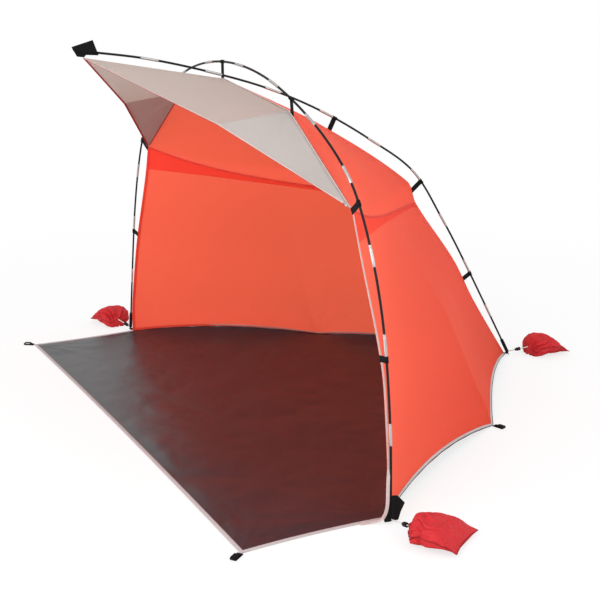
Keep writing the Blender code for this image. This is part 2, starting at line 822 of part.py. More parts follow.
def strap(name, route, distance, target, tree, shift=0.0):
    """A webbing loop round a pole, whose doubled tail runs down to the cloth."""
    along = route.tangent(distance)
    centre = route.at(distance) + along * shift
    tail = target - centre
    tail = (tail - along * tail.dot(along)).normalized()
    thick = along.cross(tail)
    inner_radius = FERRULE_DIAMETER / 2.0 + LOOP_PLAY
    outer_radius = inner_radius + LOOP_WALL
    length = reach_to_cloth(tree, centre, tail, along, thick) - STRAP_SEAT
    root = math.asin(STRAP_THICKNESS / 2.0 / outer_radius)
    sweep = 2.0 * math.pi - 2.0 * root
    outline = []
    hole = []
    for i in range(LOOP_POINTS + 1):
        angle = root + sweep * i / LOOP_POINTS
        direction = tail * math.cos(angle) + thick * math.sin(angle)
        outline.append(centre + direction * outer_radius)
        hole.append(centre + direction * inner_radius)
    for sign in (-1.0, 1.0):
        outline.append(centre + tail * length + thick * (sign * STRAP_THICKNESS / 2.0))
        direction = tail * math.cos(root / 3.0) + thick * (sign * math.sin(root / 3.0))
        hole.append(centre + direction * inner_radius)
    half = along * (STRAP_WIDTH / 2.0)
    rings = [
        [p - half for p in outline],
        [p + half for p in outline],
        [p + half for p in hole],
        [p - half for p in hole],
    ]
    return add_object(name, loft(rings, name, cyclic=True), "webbing")


def solid_cylinder(start, end, radius, sides, name):
    axis = (end - start).normalized()
    helper = Vector((1.0, 0.0, 0.0)) if abs(axis.x) < 0.8 else Vector((0.0, 1.0, 0.0))
    across = axis.cross(helper).normalized()
    up = axis.cross(across)
    rings = []
    for centre in (start, end):
        ring = []
        for i in range(sides):
            angle = 2.0 * math.pi * i / sides
            ring.append(centre + (across * math.cos(angle) + up * math.sin(angle)) * radius)
        rings.append(ring)
    mesh = loft(rings, name)
    item = bpy.data.objects.new(name, mesh)
    bpy.context.scene.collection.objects.link(item)
    return item


def solid_plate(corners, thickness_axis, thickness, name):
    half = thickness_axis * (thickness / 2.0)
    mesh = loft([[c - half for c in corners], [c + half for c in corners]], name)
    item = bpy.data.objects.new(name, mesh)
    bpy.context.scene.collection.objects.link(item)
    return item


def combined(base, operands, name, kind):
    """Unite or cut in turn with exact Booleans and keep only the result."""
    for operand, operation in operands:
        modifier = base.modifiers.new(operation, "BOOLEAN")
        modifier.object = operand
        modifier.operation = operation
        modifier.solver = "EXACT"
    depsgraph = bpy.context.evaluated_depsgraph_get()
    mesh = bpy.data.meshes.new_from_object(base.evaluated_get(depsgraph))
    mesh.name = name
    for item in [base] + [operand for operand, _ in operands]:
        bpy.data.objects.remove(item, do_unlink=True)
    return add_object(name, mesh, kind)


def foot_pocket(name, foot, along, turn, corner, outline=FOOT_FIN_SHARES):
    """Fabric pouch over a pole's foot, sewn to the tent's corner by a short tab."""
    side = (turn - along * turn.dot(along)).normalized()
    face = along.cross(side)
    base = foot - along * POCKET_BASE
    fin = []
    for side_share, height_share in outline:
        across = side * (side_share * FOOT_POCKET_WIDTH / 2.0)
        fin.append(base + across + along * (height_share * FOOT_POCKET_HEIGHT))
    top = base + along * FOOT_POCKET_HEIGHT
    sleeve = solid_cylinder(base, top, SLEEVE_DIAMETER / 2.0, POCKET_SIDES, name)
    plate = solid_plate(fin, face, FIN_THICKNESS, name + "_fin")
    way = corner - foot
    way.z = 0.0
    reach = way.length - TAB_SEAT
    way.normalize()
    across = Vector((-way.y, way.x, 0.0)) * (TAB_WIDTH / 2.0)
    low = Vector((foot.x, foot.y, base.z + TAB_THICKNESS))
    ends = [low - across, low + way * reach - across, low + way * reach + across, low + across]
    tab = solid_plate(ends, Vector((0.0, 0.0, 1.0)), TAB_THICKNESS, name + "_tab")
    overrun = along * SLEEVE_DIAMETER
    hollow = TUBE_DIAMETER / 2.0 + SLEEVE_PLAY
    bore = solid_cylinder(foot - along * SLEEVE_PLAY, top + overrun, hollow, POCKET_SIDES, name + "_bore")
    operands = [(plate, "UNION"), (tab, "UNION"), (bore, "DIFFERENCE")]
    return combined(sleeve, operands, name, "webbing")


def tip_pocket(name, tip, along):
    """Fabric pouch over the ridge pole's front tip, standing on the visor's point."""
    back = -along
    up = Vector((1.0, 0.0, 0.0)).cross(back)
    if up.z < 0.0:
        up = -up
    rest = Vector((0.0, -VISOR_TIP_REACH, VISOR_TIP_HEIGHT + CLOTH + TIP_POCKET_SEAT))
    drop = (tip - rest).dot(up)
    front = tip + along * (TIP_POCKET_LENGTH * TIP_POCKET_AHEAD_SHARE) - up * drop
    fin = []
    for length_share, height_share in TIP_FIN_SHARES:
        point = front + back * (length_share * TIP_POCKET_LENGTH)
        fin.append(point + up * (height_share * TIP_POCKET_HEIGHT))
    base = tip + along * POCKET_BASE
    mouth = front + back * (TIP_POCKET_LENGTH * TIP_MOUTH_SHARE)
    mouth = base + back * (mouth - base).dot(back)
    sleeve = solid_cylinder(base, mouth, SLEEVE_DIAMETER / 2.0, POCKET_SIDES, name)
    plate = solid_plate(fin, Vector((1.0, 0.0, 0.0)), FIN_THICKNESS, name + "_fin")
    hollow = TUBE_DIAMETER / 2.0 + SLEEVE_PLAY
    start = tip + along * SLEEVE_PLAY
    bore = solid_cylinder(start, mouth + back * SLEEVE_DIAMETER, hollow, POCKET_SIDES, name + "_bore")
    return combined(sleeve, [(plate, "UNION"), (bore, "DIFFERENCE")], name, "webbing")


def loop_root(tree, corner, direction):
    """Where a loop's sewn end meets the ground, just off the floor's edge."""
    across = Vector((-direction.y, direction.x, 0.0))
    high = PEG_LOOP_HEIGHT * SEWN_SHARE
    start = corner + direction * PEG_LOOP_LENGTH
    shortest = PEG_LOOP_LENGTH
    for i in (-1.0, -0.5, 0.0, 0.5, 1.0):
        for k in (0.0, 0.1, 0.3, 0.6, 1.0):
            point = start + across * (i * PEG_LOOP_WIDTH / 2.0)
            point.z = PEG_LOOP_LIFT + k * high
            hit = tree.ray_cast(point, -direction)
            if hit[0] is not None:
                shortest = min(shortest, hit[3])
    return start - direction * (shortest - PEG_LOOP_SEAT)


def peg_loop(name, root, direction):
    """Webbing folded into a flat loop with an eye for the peg."""
    across = Vector((-direction.y, direction.x, 0.0))
    up = Vector((0.0, 0.0, 1.0))
    height = PEG_LOOP_HEIGHT / 2.0
    base = root + up * (PEG_LOOP_LIFT + height)
    outline = []
    hole = []
    start = SEWN_LENGTH
    centre = PEG_LOOP_LENGTH - height
    inside = height - PEG_LOOP_WALL
    for i in range(PEG_LOOP_BEND_STEPS + 1):
        angle = -math.pi / 2.0 + math.pi * i / PEG_LOOP_BEND_STEPS
        outline.append((centre + height * math.cos(angle), height * math.sin(angle)))
        hole.append((centre + inside * math.cos(angle), inside * math.sin(angle)))
    sewn_top = PEG_LOOP_HEIGHT * SEWN_SHARE - height
    outline += [(start + RISE_LENGTH, height), (0.0, sewn_top), (0.0, -height)]
    hole += [(start + RISE_LENGTH, inside), (start, sewn_top), (start, -inside)]

    def place(points, side):
        half = across * (side * PEG_LOOP_WIDTH / 2.0)
        return [base + direction * a + up * b + half for a, b in points]

    rings = [place(outline, -1.0), place(outline, 1.0), place(hole, 1.0), place(hole, -1.0)]
    return add_object(name, loft(rings, name, cyclic=True), "webbing")


def sandbag(name, neck, direction, skew):
    """Filled drawcord bag that lies on the ground, flat below and crowned above."""
    direction = Vector((direction.x, direction.y, 0.0)).normalized()
    square = Vector((-direction.y, direction.x, 0.0))
    rings = []
    for length_share, width_share, height_share in BAG_SHARES:
        half_width = lerp(BAG_NECK_DIAMETER, BAG_WIDTH, width_share) / 2.0
        is_neck_side = length_share < 0.5
        least = BAG_NECK_DIAMETER if is_neck_side else BAG_EDGE_THICKNESS
        height = lerp(least, BAG_HEIGHT, height_share)
        if is_neck_side:
            bottom = BAG_NECK_HEIGHT * (1.0 - min(1.0, height_share * BAG_NECK_FALL)) + BAG_LIFT
            bottom = max(bottom - least / 2.0, BAG_LIFT)
        else:
            bottom = BAG_LIFT + BAG_EDGE_LIFT * length_share ** BAG_EDGE_POWER
        slant = math.radians(skew) * length_share
        across = square * math.cos(slant) - direction * math.sin(slant)
        ring = []
        for i in range(BAG_SIDES):
            angle = 2.0 * math.pi * i / BAG_SIDES
            x = math.copysign(abs(math.cos(angle)) ** BAG_SIDE_POWER, math.cos(angle))
            z = math.sin(angle)
            if z < 0.0:
                z = -abs(z) ** BAG_BASE_POWER
            hollow = BAG_EDGE_HOLLOW * (1.0 - x ** 2) * length_share ** BAG_EDGE_POWER
            length = length_share * BAG_LENGTH - hollow
            place = neck + direction * length + across * (x * half_width)
            place.z = bottom + height * (z + 1.0) / 2.0
            ring.append(place)
        rings.append(ring)
    return add_object(name, loft(rings, name), "bag_cloth")


def reach_to_piece(tree, origin, way, radius):
    """Shortest run of a round cord from a point to the piece ahead of it."""
    across = way.cross(Vector((0.0, 0.0, 1.0))).normalized()
    up = across.cross(way)
    shortest = tree.ray_cast(origin, way)[3]
    for i in range(CORD_SIDES * 2):
        angle = math.pi * i / CORD_SIDES
        start = origin + (across * math.cos(angle) + up * math.sin(angle)) * radius
        hit = tree.ray_cast(start, way)
        if hit[0] is not None and (shortest is None or hit[3] < shortest):
            shortest = hit[3]
    return shortest


def tether(name, start, end):
    """A short cord between a foot pocket and a bag's neck."""
    data = bpy.data.curves.new(name, "CURVE")
    data.dimensions = "3D"
    data.bevel_depth = TETHER_DIAMETER / 2.0
    data.bevel_resolution = 2
    data.use_fill_caps = True
    spline = data.splines.new("POLY")
    spline.points.add(TETHER_STEPS)
    for i in range(TETHER_STEPS + 1):
        spline.points[i].co = (*lerp(start, end, i / TETHER_STEPS), 1.0)
    item = bpy.data.objects.new(name, data)
    bpy.context.scene.collection.objects.link(item)
    data.materials.append(finish_for(name, "tether"))
    return item


def cord_lock(name, start, end, place_share):
    """Barrel lock that slides on the tether."""
    axis = (end - start).normalized()
    helper = Vector((0.0, 0.0, 1.0))
    across = axis.cross(helper).normalized()
    up = across.cross(axis)
    run = (end - start).length - LOCK_LENGTH
    first = start + axis * (run * place_share)
    body = LOCK_DIAMETER / 2.0
    waist = LOCK_WAIST_DIAMETER / 2.0
    hole = TETHER_DIAMETER / 2.0 + LOCK_PLAY
    low, high = LOCK_WIDE_SHARES
    profile = [(0.0, hole), (0.0, waist), (low, body), (high, body), (0.5, waist)]
    profile += [(1.0 - high, body), (1.0 - low, body), (1.0, waist), (1.0, hole)]
    rings = []
    for length_share, radius in profile:
        ring = []
        for i in range(LOCK_SIDES):
            angle = 2.0 * math.pi * i / LOCK_SIDES
            direction = across * math.cos(angle) + up * math.sin(angle)
            ring.append(first + axis * (length_share * LOCK_LENGTH) + direction * radius)
        rings.append(ring)
    return add_object(name, loft(rings, name, cyclic=True), "lock")


def end_of(route, distance, reach):
    """A pole's end and the way from there along the pole, over a pocket's length."""
    end = route.at(distance)
    return end, (route.at(distance + reach) - end).normalized()


def turned_out(side, bearing):
    """Way across the ground at a bearing in degrees, mirrored for the left side."""
    angle = math.radians(bearing)
    return Vector((side * math.cos(angle), math.sin(angle), 0.0))


def bag_set(side_name, foot, along, pocket, place):
    """A sandbag with its tether, which starts on the axis that the bag swings about."""
    bearing = math.radians(place["bearing"])
    out = Vector((math.cos(bearing), math.sin(bearing), 0.0))
    root = foot + along * ((TETHER_START_HEIGHT - foot.z) / along.z)
    neck = Vector((foot.x, foot.y, 0.0)) + out * place["reach"]
    neck_centre = Vector((neck.x, neck.y, BAG_NECK_HEIGHT + BAG_LIFT))
    turned = bearing + math.radians(place["turn"])
    direction = Vector((math.cos(turned), math.sin(turned), 0.0))
    bag = sandbag("sandbag_" + side_name, neck, direction, place["skew"])
    way = (neck_centre - root).normalized()
    middle = lerp(root, neck_centre, 0.5)
    radius = TETHER_DIAMETER / 2.0
    start = middle - way * (reach_to_piece(tree_of([pocket]), middle, -way, radius) - TETHER_SEAT)
    end = middle + way * (reach_to_piece(tree_of([bag]), middle, way, radius) - TETHER_SEAT)
    tether("tether_" + side_name, start, end)
    cord_lock("cord_lock_" + side_name, start, end, place["lock_share"])


def build():
    clear_scene()
    hoop = hoop_route()
    ridge = ridge_route()
    hoop_places = joint_places(POLE_END_LIFT, hoop.length - POLE_END_LIFT, HOOP_SECTIONS)
    ridge_places = joint_places(POLE_END_LIFT, ridge.length, RIDGE_SECTIONS)
    hoop_axis = Vector((0.0, 1.0, 0.0))
    ridge_axis = Vector((1.0, 0.0, 0.0))
    for i in range(HOOP_SECTIONS):
        pole_section(hoop, hoop_places, i, hoop_axis, f"hoop_section_{i + 1:02d}")
    for i in range(RIDGE_SECTIONS):
        pole_section(ridge, ridge_places, i, ridge_axis, f"ridge_section_{i + 1:02d}")
    shock_cord(hoop, hoop_places, hoop_axis, "hoop_shock_cord")
    shock_cord(ridge, ridge_places, ridge_axis, "ridge_shock_cord")

    canopy = canopy_ridge()
    seam = seam_distance(canopy)
    panels = []
    for side, word in ((-1.0, "left"), (1.0, "right")):
        panels.append(visor(side, "visor_" + word))
        panels.append(roof(side, "roof_" + word, canopy, seam))
        panels.append(wall(side, "wall_" + word, canopy, seam))
    floor = floor_sheet("floor_sheet")

    tree = tree_of(panels)
    apex = hoop.length / 2.0
    beside_ridge = STRAP_WIDTH / 2.0 + FERRULE_DIAMETER / 2.0 + LOOP_WALL
    strap("apex_strap", hoop, apex, Vector((0.0, 0.0, BORDER_TOP_HEIGHT)), tree, -beside_ridge)
    half = FERRULE_LENGTH / 2.0 + STRAP_WIDTH / 2.0 + LOOP_PLAY
    for side, word in ((-1.0, "left"), (1.0, "right")):
        shoulder = apex + side * SHOULDER_STRAP_SHARE * apex
        corner = apex + side * CORNER_STRAP_SHARE * apex
        clip = apex + side * (hoop_places[-3] - apex + half)
        strap("shoulder_strap_" + word, hoop, shoulder, border_point(side, SHOULDER_TARGET_SHARE), tree)
        strap("corner_strap_" + word, hoop, corner, border_point(side, CORNER_TARGET_SHARE), tree)
        strap("side_strap_" + word, hoop, clip, front_hem(side).share(SIDE_TARGET_SHARE), tree)
    roof_place = ridge_places[RIDGE_SECTIONS - 4] - half
    rear_place = ridge_places[RIDGE_SECTIONS - 6] - half
    strap("roof_strap", ridge, roof_place, canopy.share(ROOF_TARGET_SHARE), tree)
    strap("rear_strap", ridge, rear_place, canopy.share(REAR_TARGET_SHARE), tree)

    tip, tip_back = end_of(ridge, ridge_places[-1], -TIP_POCKET_LENGTH)
    tip_pocket("tip_pocket", tip, -tip_back)
    left_foot, left_along = end_of(hoop, hoop_places[0], FOOT_POCKET_HEIGHT)
    right_foot, right_along = end_of(hoop, hoop_places[-1], -FOOT_POCKET_HEIGHT)
    rear_foot, rear_along = end_of(ridge, ridge_places[0], FOOT_POCKET_HEIGHT)
    edge_on = Vector(EDGE_ON_TURN)
    face_on = Vector(FACE_ON_TURN)
    left = foot_pocket("foot_pocket_left", left_foot, left_along, edge_on, lower_hem(-1.0, 0.0))
    right = foot_pocket("foot_pocket_right", right_foot, right_along, face_on, lower_hem(1.0, 0.0),
                        FACE_FIN_SHARES)
    rear = foot_pocket("rear_pocket", rear_foot, rear_along, edge_on, lower_hem(1.0, 1.0))

    floor_tree = tree_of([floor])
    for side, word in ((-1.0, "left"), (1.0, "right")):
        out = turned_out(side, PORCH_LOOP_BEARING)
        peg_loop("peg_loop_front_" + word, loop_root(floor_tree, porch_corner(side), out), out)
        out = turned_out(side, SIDE_LOOP_BEARING)
        peg_loop("peg_loop_side_" + word, loop_root(floor_tree, side_peg(side, FLOOR_LIP), out), out)

    bag_set("left", left_foot, left_along, left, BAG_LEFT)
    bag_set("right", right_foot, right_along, right, BAG_RIGHT)
    bag_set("rear", rear_foot, rear_along, rear, BAG_REAR)


build()
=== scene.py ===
"""Beach tent, dressed: bent fibreglass poles, coated cloth, webbing, sewn pockets, sandbags.

Metres, +Z up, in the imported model's frame: the origin lies on the ground, midway between the
hoop's two feet, and the open front looks along -Y.
"""
import math

import bpy
from mathutils import Matrix, Vector, noise
from mathutils.bvhtree import BVHTree
from mathutils.kdtree import KDTree


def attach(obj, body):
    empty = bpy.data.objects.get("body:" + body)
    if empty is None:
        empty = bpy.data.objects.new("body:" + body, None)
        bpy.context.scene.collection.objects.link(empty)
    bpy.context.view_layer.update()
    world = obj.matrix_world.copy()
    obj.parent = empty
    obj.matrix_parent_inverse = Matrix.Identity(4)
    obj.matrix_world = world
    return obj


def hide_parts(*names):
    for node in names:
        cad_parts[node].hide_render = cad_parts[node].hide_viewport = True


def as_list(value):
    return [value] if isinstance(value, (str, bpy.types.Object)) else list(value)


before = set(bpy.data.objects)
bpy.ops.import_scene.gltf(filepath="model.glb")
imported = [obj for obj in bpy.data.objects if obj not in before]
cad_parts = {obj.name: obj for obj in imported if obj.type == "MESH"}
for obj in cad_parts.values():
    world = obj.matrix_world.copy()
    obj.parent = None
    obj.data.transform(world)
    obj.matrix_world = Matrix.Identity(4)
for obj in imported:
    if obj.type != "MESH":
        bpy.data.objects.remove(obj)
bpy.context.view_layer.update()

UP = Vector((0.0, 0.0, 1.0))
SIDES = ((-1.0, "left"), (1.0, "right"))

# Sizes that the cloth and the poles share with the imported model
FOOT_SPREAD = 2.30
HOOP_HEIGHT = 1.293
HOOP_BOW = 0.015
REAR_REACH = 1.350
TIP_REACH = 0.524
TIP_RISE = 0.046
TIP_HEIGHT = HOOP_HEIGHT + TIP_RISE
HOOP_SECTIONS = 15
RIDGE_SECTIONS = 10
TUBE_DIAMETER = 0.0079
TUBE_BORE = 0.0044
FERRULE_DIAMETER = 0.0096
FERRULE_LENGTH = 0.066
POLE_END_LIFT = 0.007
APEX_DROP = 0.060
VISOR_TIP_DROP = 0.023
VISOR_TIP_SET_BACK = 0.009
HEM_FOOT_INSET = 0.032
REAR_HEM_INSET = 0.020
PORCH_REACH = 0.472
BORDER_SET_BACK = 0.018
SEAM_SAG = 0.034
SAG_SCALE = 27.0 / 4.0
WALL_FULLNESS = 0.006
HEM_RISE = 0.038
HEM_DRAW = 0.026
PORCH_DRAW = 0.010
FLOOR_EDGE_WIDTH = 0.110
FLOOR_LIP = 0.003
HEM_BASE = 0.0014           # the wall's lower edge stands this high where the hem is pegged
HEM_END_BASE = 0.0007       # and its front and rear edges start this high
CAD_WALL_ROWS = 10
BORDER_TOP_HEIGHT = HOOP_HEIGHT - APEX_DROP
VISOR_TIP_REACH = TIP_REACH - VISOR_TIP_SET_BACK
VISOR_TIP_HEIGHT = TIP_HEIGHT - VISOR_TIP_DROP
HEM_FOOT_HALF_WIDTH = FOOT_SPREAD / 2.0 - HEM_FOOT_INSET
REAR_HEM_REACH = REAR_REACH - REAR_HEM_INSET
SHOULDER_SHARES = (0.4113, 0.9359)
CORNER_SHARES = (0.7557, 0.7283)
VISOR_EDGE_SHARES = (0.3861, 0.9100)
VISOR_EDGE_REACH_SHARE = 0.441
PORCH_WIDTH_SHARE = 0.9678
SIDE_PEG_SHARES = (0.5739, 0.5662)
HEART_REACH_SHARE = 0.30
HEART_HEIGHT_SHARE = 0.15
STRAP_WIDTH = 0.016
STRAP_SPREAD = 0.020        # the webbing as woven, past its sewn core
SHOULDER_STRAP_SHARE = 0.263
CORNER_STRAP_SHARE = 0.516
SHOULDER_TARGET_SHARE = 0.49
CORNER_TARGET_SHARE = 0.985
SIDE_TARGET_SHARE = 0.50
ROOF_TARGET_SHARE = 0.26
REAR_TARGET_SHARE = 0.54
LOW_TARGET_SHARE = 0.74
FOOT_POCKET_HEIGHT = 0.085
FOOT_POCKET_WIDTH = 0.054
TIP_POCKET_LENGTH = 0.095
TIP_POCKET_HEIGHT = 0.060
TIP_POCKET_AHEAD_SHARE = 0.32
SLEEVE_DIAMETER = 0.0146
POCKET_BASE = 0.0024
EDGE_ON_TURN = (-0.85, 0.45, 0.0)
FACE_ON_TURN = (0.0, 1.0, 0.0)
PEG_LOOP_LENGTH = 0.046
PEG_LOOP_WIDTH = 0.018
PEG_LOOP_HEIGHT = 0.0100
PEG_LOOP_LIFT = 0.0006
BAG_LENGTH = 0.170
BAG_WIDTH = 0.165
BAG_HEIGHT = 0.084
BAG_NECK_DIAMETER = 0.016
BAG_NECK_HEIGHT = 0.040
BAG_EDGE_THICKNESS = 0.006
BAG_LIFT = 0.0006
BAG_EDGE_LIFT = 0.008
BAG_SIDE_POWER = 0.85
BAG_BASE_POWER = 0.80
BAG_EDGE_POWER = 6
BAG_NECK_FALL = 1.9
BAG_SEWN_HOLLOW = 0.009     # the sand pushes the sewn edge out
BAG_PRESSURE = 1.2
BAG_SLACK = 0.05
BAG_MOST_MOVE = 0.007
TETHER_DIAMETER = 0.0042
LOCK_LENGTH = 0.024
LOCK_DIAMETER = 0.0150
HOOP_SHARES = ((1.000, 0.000), (0.974, 0.224), (0.922, 0.464), (0.842, 0.650),
               (0.748, 0.770), (0.559, 0.880), (0.287, 0.970), (0.000, 1.000))
RIDGE_SHARES = ((1.000, 0.000), (0.808, 0.332), (0.715, 0.482), (0.607, 0.632), (0.452, 0.737),
                (0.292, 0.8245), (0.127, 0.892), (-0.107, 0.940), (-0.559, 0.978),
                (-1.000, 1.000))
CANOPY_RIDGE_SHARES = ((0.000, 1.000), (0.298, 0.8516), (0.595, 0.6553), (0.629, 0.5791),
                       (0.777, 0.3731), (0.861, 0.2206), (1.000, 0.0000))
SEAM_END_INDEX = 3
FRONT_HEM_SHARES = ((0.000, 1.000), (0.193, 0.856), (0.727, 0.516), (0.864, 0.332),
                    (0.970, 0.120), (1.000, 0.000))
FOOT_FIN_SHARES = ((-0.75, 0.02), (0.55, 0.02), (0.90, 0.42), (0.70, 0.62), (1.00, 0.86),
                   (0.40, 0.96), (-0.40, 0.96), (-0.55, 0.60), (-1.00, 0.20))
FACE_FIN_SHARES = ((-0.75, 0.02), (1.00, 0.02), (1.32, 0.31), (1.85, 0.60), (0.83, 0.93),
                   (-0.40, 0.96), (-0.55, 0.60), (-1.00, 0.20))
TIP_FIN_SHARES = ((0.22, 0.00), (0.48, 0.00), (0.54, 0.14), (1.00, 0.19), (0.75, 1.00),
                  (0.00, 0.49))
BAG_SHARES = ((0.00, 0.00, 0.00), (0.04, 0.34, 0.42), (0.12, 0.62, 0.72), (0.26, 0.84, 0.94),
              (0.42, 0.93, 1.00), (0.60, 0.96, 0.88), (0.78, 0.97, 0.60), (0.91, 0.985, 0.28),
              (1.00, 1.00, 0.00))
# Each bag: its pole foot, the bearing and reach of its neck, how far it is turned and skewed,
# the tether's two ends, where its lock sits, how deep its gathers are, and its noise seed
BAGS = {
    "left": ((-1.14929, 0.00025), 215.0, 0.072, -35.0, 0.0,
             ((-1.15528, -0.00406, 0.01511), (-1.20661, -0.03988, 0.0398)), 0.12, 0.0095, 2.0),
    "right": ((1.14929, 0.00025), -4.0, 0.106, 51.0, -14.0,
              ((1.15655, -0.0001, 0.01408), (1.25206, -0.00693, 0.0398)), 0.92, 0.0056, 5.0),
    "rear": ((0.0, 1.34648), 48.0, 0.088, 47.0, 0.0,
             ((0.00483, 1.34867, 0.01435), (0.05723, 1.40993, 0.03979)), 0.45, 0.0085, 9.0),
}
# Each right-hand peg loop: where its sewn end meets the ground, and its way out
PEG_LOOPS = {"front": ((1.11326, -0.4724), (0.58779, -0.80902)),
             "side": ((0.66491, 0.7566), (0.96126, 0.27564))}

# Where the binding runs by the right foot, from the wall's hem to the porch's edge, and the way
# its flat side looks beside the pole and on the ground
FOOT_BINDING = ((1.1310, 0.003, 0.170), (1.1380, -0.004, 0.140), (1.1500, -0.012, 0.108),
                (1.1590, -0.018, 0.080), (1.1640, -0.023, 0.060), (1.1620, -0.029, 0.038),
                (1.1440, -0.033, 0.015), (1.1250, -0.052, 0.0042), (1.1180, -0.085, 0.0030))
BINDING_BY_POLE = Vector((1.0, -0.25, 0.0))
BINDING_ON_GROUND = Vector((0.25, -0.1, 1.0))
HEM_FOOT_BOW = 0.012        # the dressed hem runs this much nearer the pole just above the foot
HEM_BOW_RISE = 0.08         # it gets there within this height,
HEM_BOW_TOP = 0.15          # and leaves again from here
HEM_BOW_FADE = 0.40         # over this height

# Sizes of the dressed pieces
CLOTH = 0.0008
MIDDLE_GAP = 0.0006         # no panel comes nearer the middle, so that left and right don't cross
GROUND_CLOTH = 0.0012
GROUND_REST = 0.0008        # the middle of the groundsheet's cloth where it lies flat
GROUND_CALM = 0.06          # how far in from its edge it lies flatter
GROUND_CLIMB_POWER = 1.8    # how steeply it climbs to the raised edge
GROUND_SWELLS = ((3.0, 0.010, 4.4), (9.0, 0.004, 7.7))  # scale, height, seed
RIPPLE_HEIGHT = 0.0042      # ripples that fan out from the porch's corners and the feet
RIPPLE_COUNT = 20.0
RIPPLE_REACH = 0.15
TAPE_THICKNESS = 0.0030
TAPE_GAP = 0.0003           # between a wall's outer face and the tape on it
TAPE_LOWEST = 0.0004        # no hem tape reaches lower
PORCH_TAPE_WIDTH = 0.014
PORCH_TAPE_PAST = 0.0015    # how far it stands out past the floor's edge
PORCH_TAPE_LIFT = 0.0018
PORCH_TAPE_LOWEST = 0.0001
LOWER_HEM_WIDTH = 0.010
LOWER_HEM_THICKNESS = 0.0020
FRONT_HEM_WIDTH = 0.014
FRONT_HEM_THICKNESS = 0.0024
FRONT_HEM_SHIFT = {-1.0: 0.0006, 1.0: -0.0012}  # how far in from the edge each tape starts
VISOR_HEM_WIDTH = 0.007
VISOR_HEM_INSET = VISOR_HEM_WIDTH / 2.2
VISOR_HEM_THICKNESS = 0.0012
VISOR_HEM_LIFT = 0.0008     # tape above the edge, lining below it
SEAM_WIDTH = 0.007
BORDER_SHIFT = 0.003        # tape in front of the border's line, red seam behind it
BORDER_LIFT = 0.0006
BORDER_THICKNESS = 0.0026
BAND_AT_CORNER = 0.107      # the facing under the roof seam, by the front hem
BAND_AT_RIDGE = 0.014
BAND_POWER = 4.0            # how fast it narrows behind the corner
BAND_DEPTH = 0.0022         # behind the wall's middle
WEBBING = 0.0012
STRAP_ROOM = 0.0004         # between a web and the ferrule that it is looped round
STRAP_BESIDE_RIDGE = 0.0008
LOOP_WEB = 0.0014
LOOP_SEWN_END = 0.009       # the two webs part here,
LOOP_OPEN = 0.019           # and the loop is fully open here
LOOP_FOLD_ROOM = 0.0026     # the upper web starts this far out, so that the loop folds up freely
POUCH_FIN = 0.0014          # half a pocket's thickness at its flat sewn edge
TIP_REST = 0.0020           # how high the tip pocket's lower edge lies on the visor
BAG_NECK_ROOM = 0.0016      # the cloth starts this far behind the neck, clear of the lock
BAG_HELD_REACH = 0.018      # the cloth this near the neck doesn't move
BAG_SEAM_HELD = 0.004       # nor does it this near the far seam
BAG_PLEATS = ((13.0, 1.0, 1.0), (22.0, 0.6, 2.0))       # count, depth, seed's share
BAG_WRINKLES = ((0.0045, 16.0, (1.0, 0.0, 0.0)), (0.0020, 42.0, (0.0, 1.0, 0.0)))
PIPING_WIDTH = 0.0034
PIPING_THICKNESS = 0.0028
PIPING_OUT = 0.0010
PIPING_LIFT = 0.0012
TETHER_RINGS = 24
STATION_STEP = 0.020        # rings along a pole, so that it bends smoothly
TUBE_SIDES = 20
TUBE_GAP = 0.0004           # between two tubes inside their ferrule
TUBE_END = ((0.0, 0.0016), (0.0006, 0.0025), (0.0030, TUBE_DIAMETER / 2.0 - 0.0003))   # x, radius
TUBE_END_LENGTH = 0.0036
FERRULE_FIT = 0.00012
FERRULE_ROUNDING = (0.0006, 0.0003)     # along it, off its radius
CRIMPS = (0.006, 0.010)     # from the ferrule's first mouth
CRIMP_HALF = 0.0009
CRIMP_DEPTH = 0.00035
WAVE_BAND = 0.3142          # width of a wave texture's band at scale 1


def lerp(a, b, t):
    return a + (b - a) * t


def clamp(value, low=0.0, high=1.0):
    return min(max(value, low), high)


def ease(t):
    t = clamp(t)
    return t * t * (3.0 - 2.0 * t)


def bowed(value, power):
    """A sine or cosine bent towards a square corner, or away from it, with its sign kept."""
    return math.copysign(abs(value) ** power, value)


def arch(t):
    """Zero at both ends and one in the middle."""
    return 4.0 * t * (1.0 - t)


def shares(count, start=0.0, end=1.0):
    return [lerp(start, end, i / count) for i in range(count + 1)]


def over(a, b, c, t):
    """A line from a to c that turns at b halfway."""
    return lerp(a, b, t * 2.0) if t <= 0.5 else lerp(b, c, t * 2.0 - 1.0)


def flat(point):
    return Vector((point.x, point.y, 0.0))


def point_tree(points):
    tree = KDTree(len(points))
    for index, point in enumerate(points):
        tree.insert(point, index)
    tree.balance()
    return tree


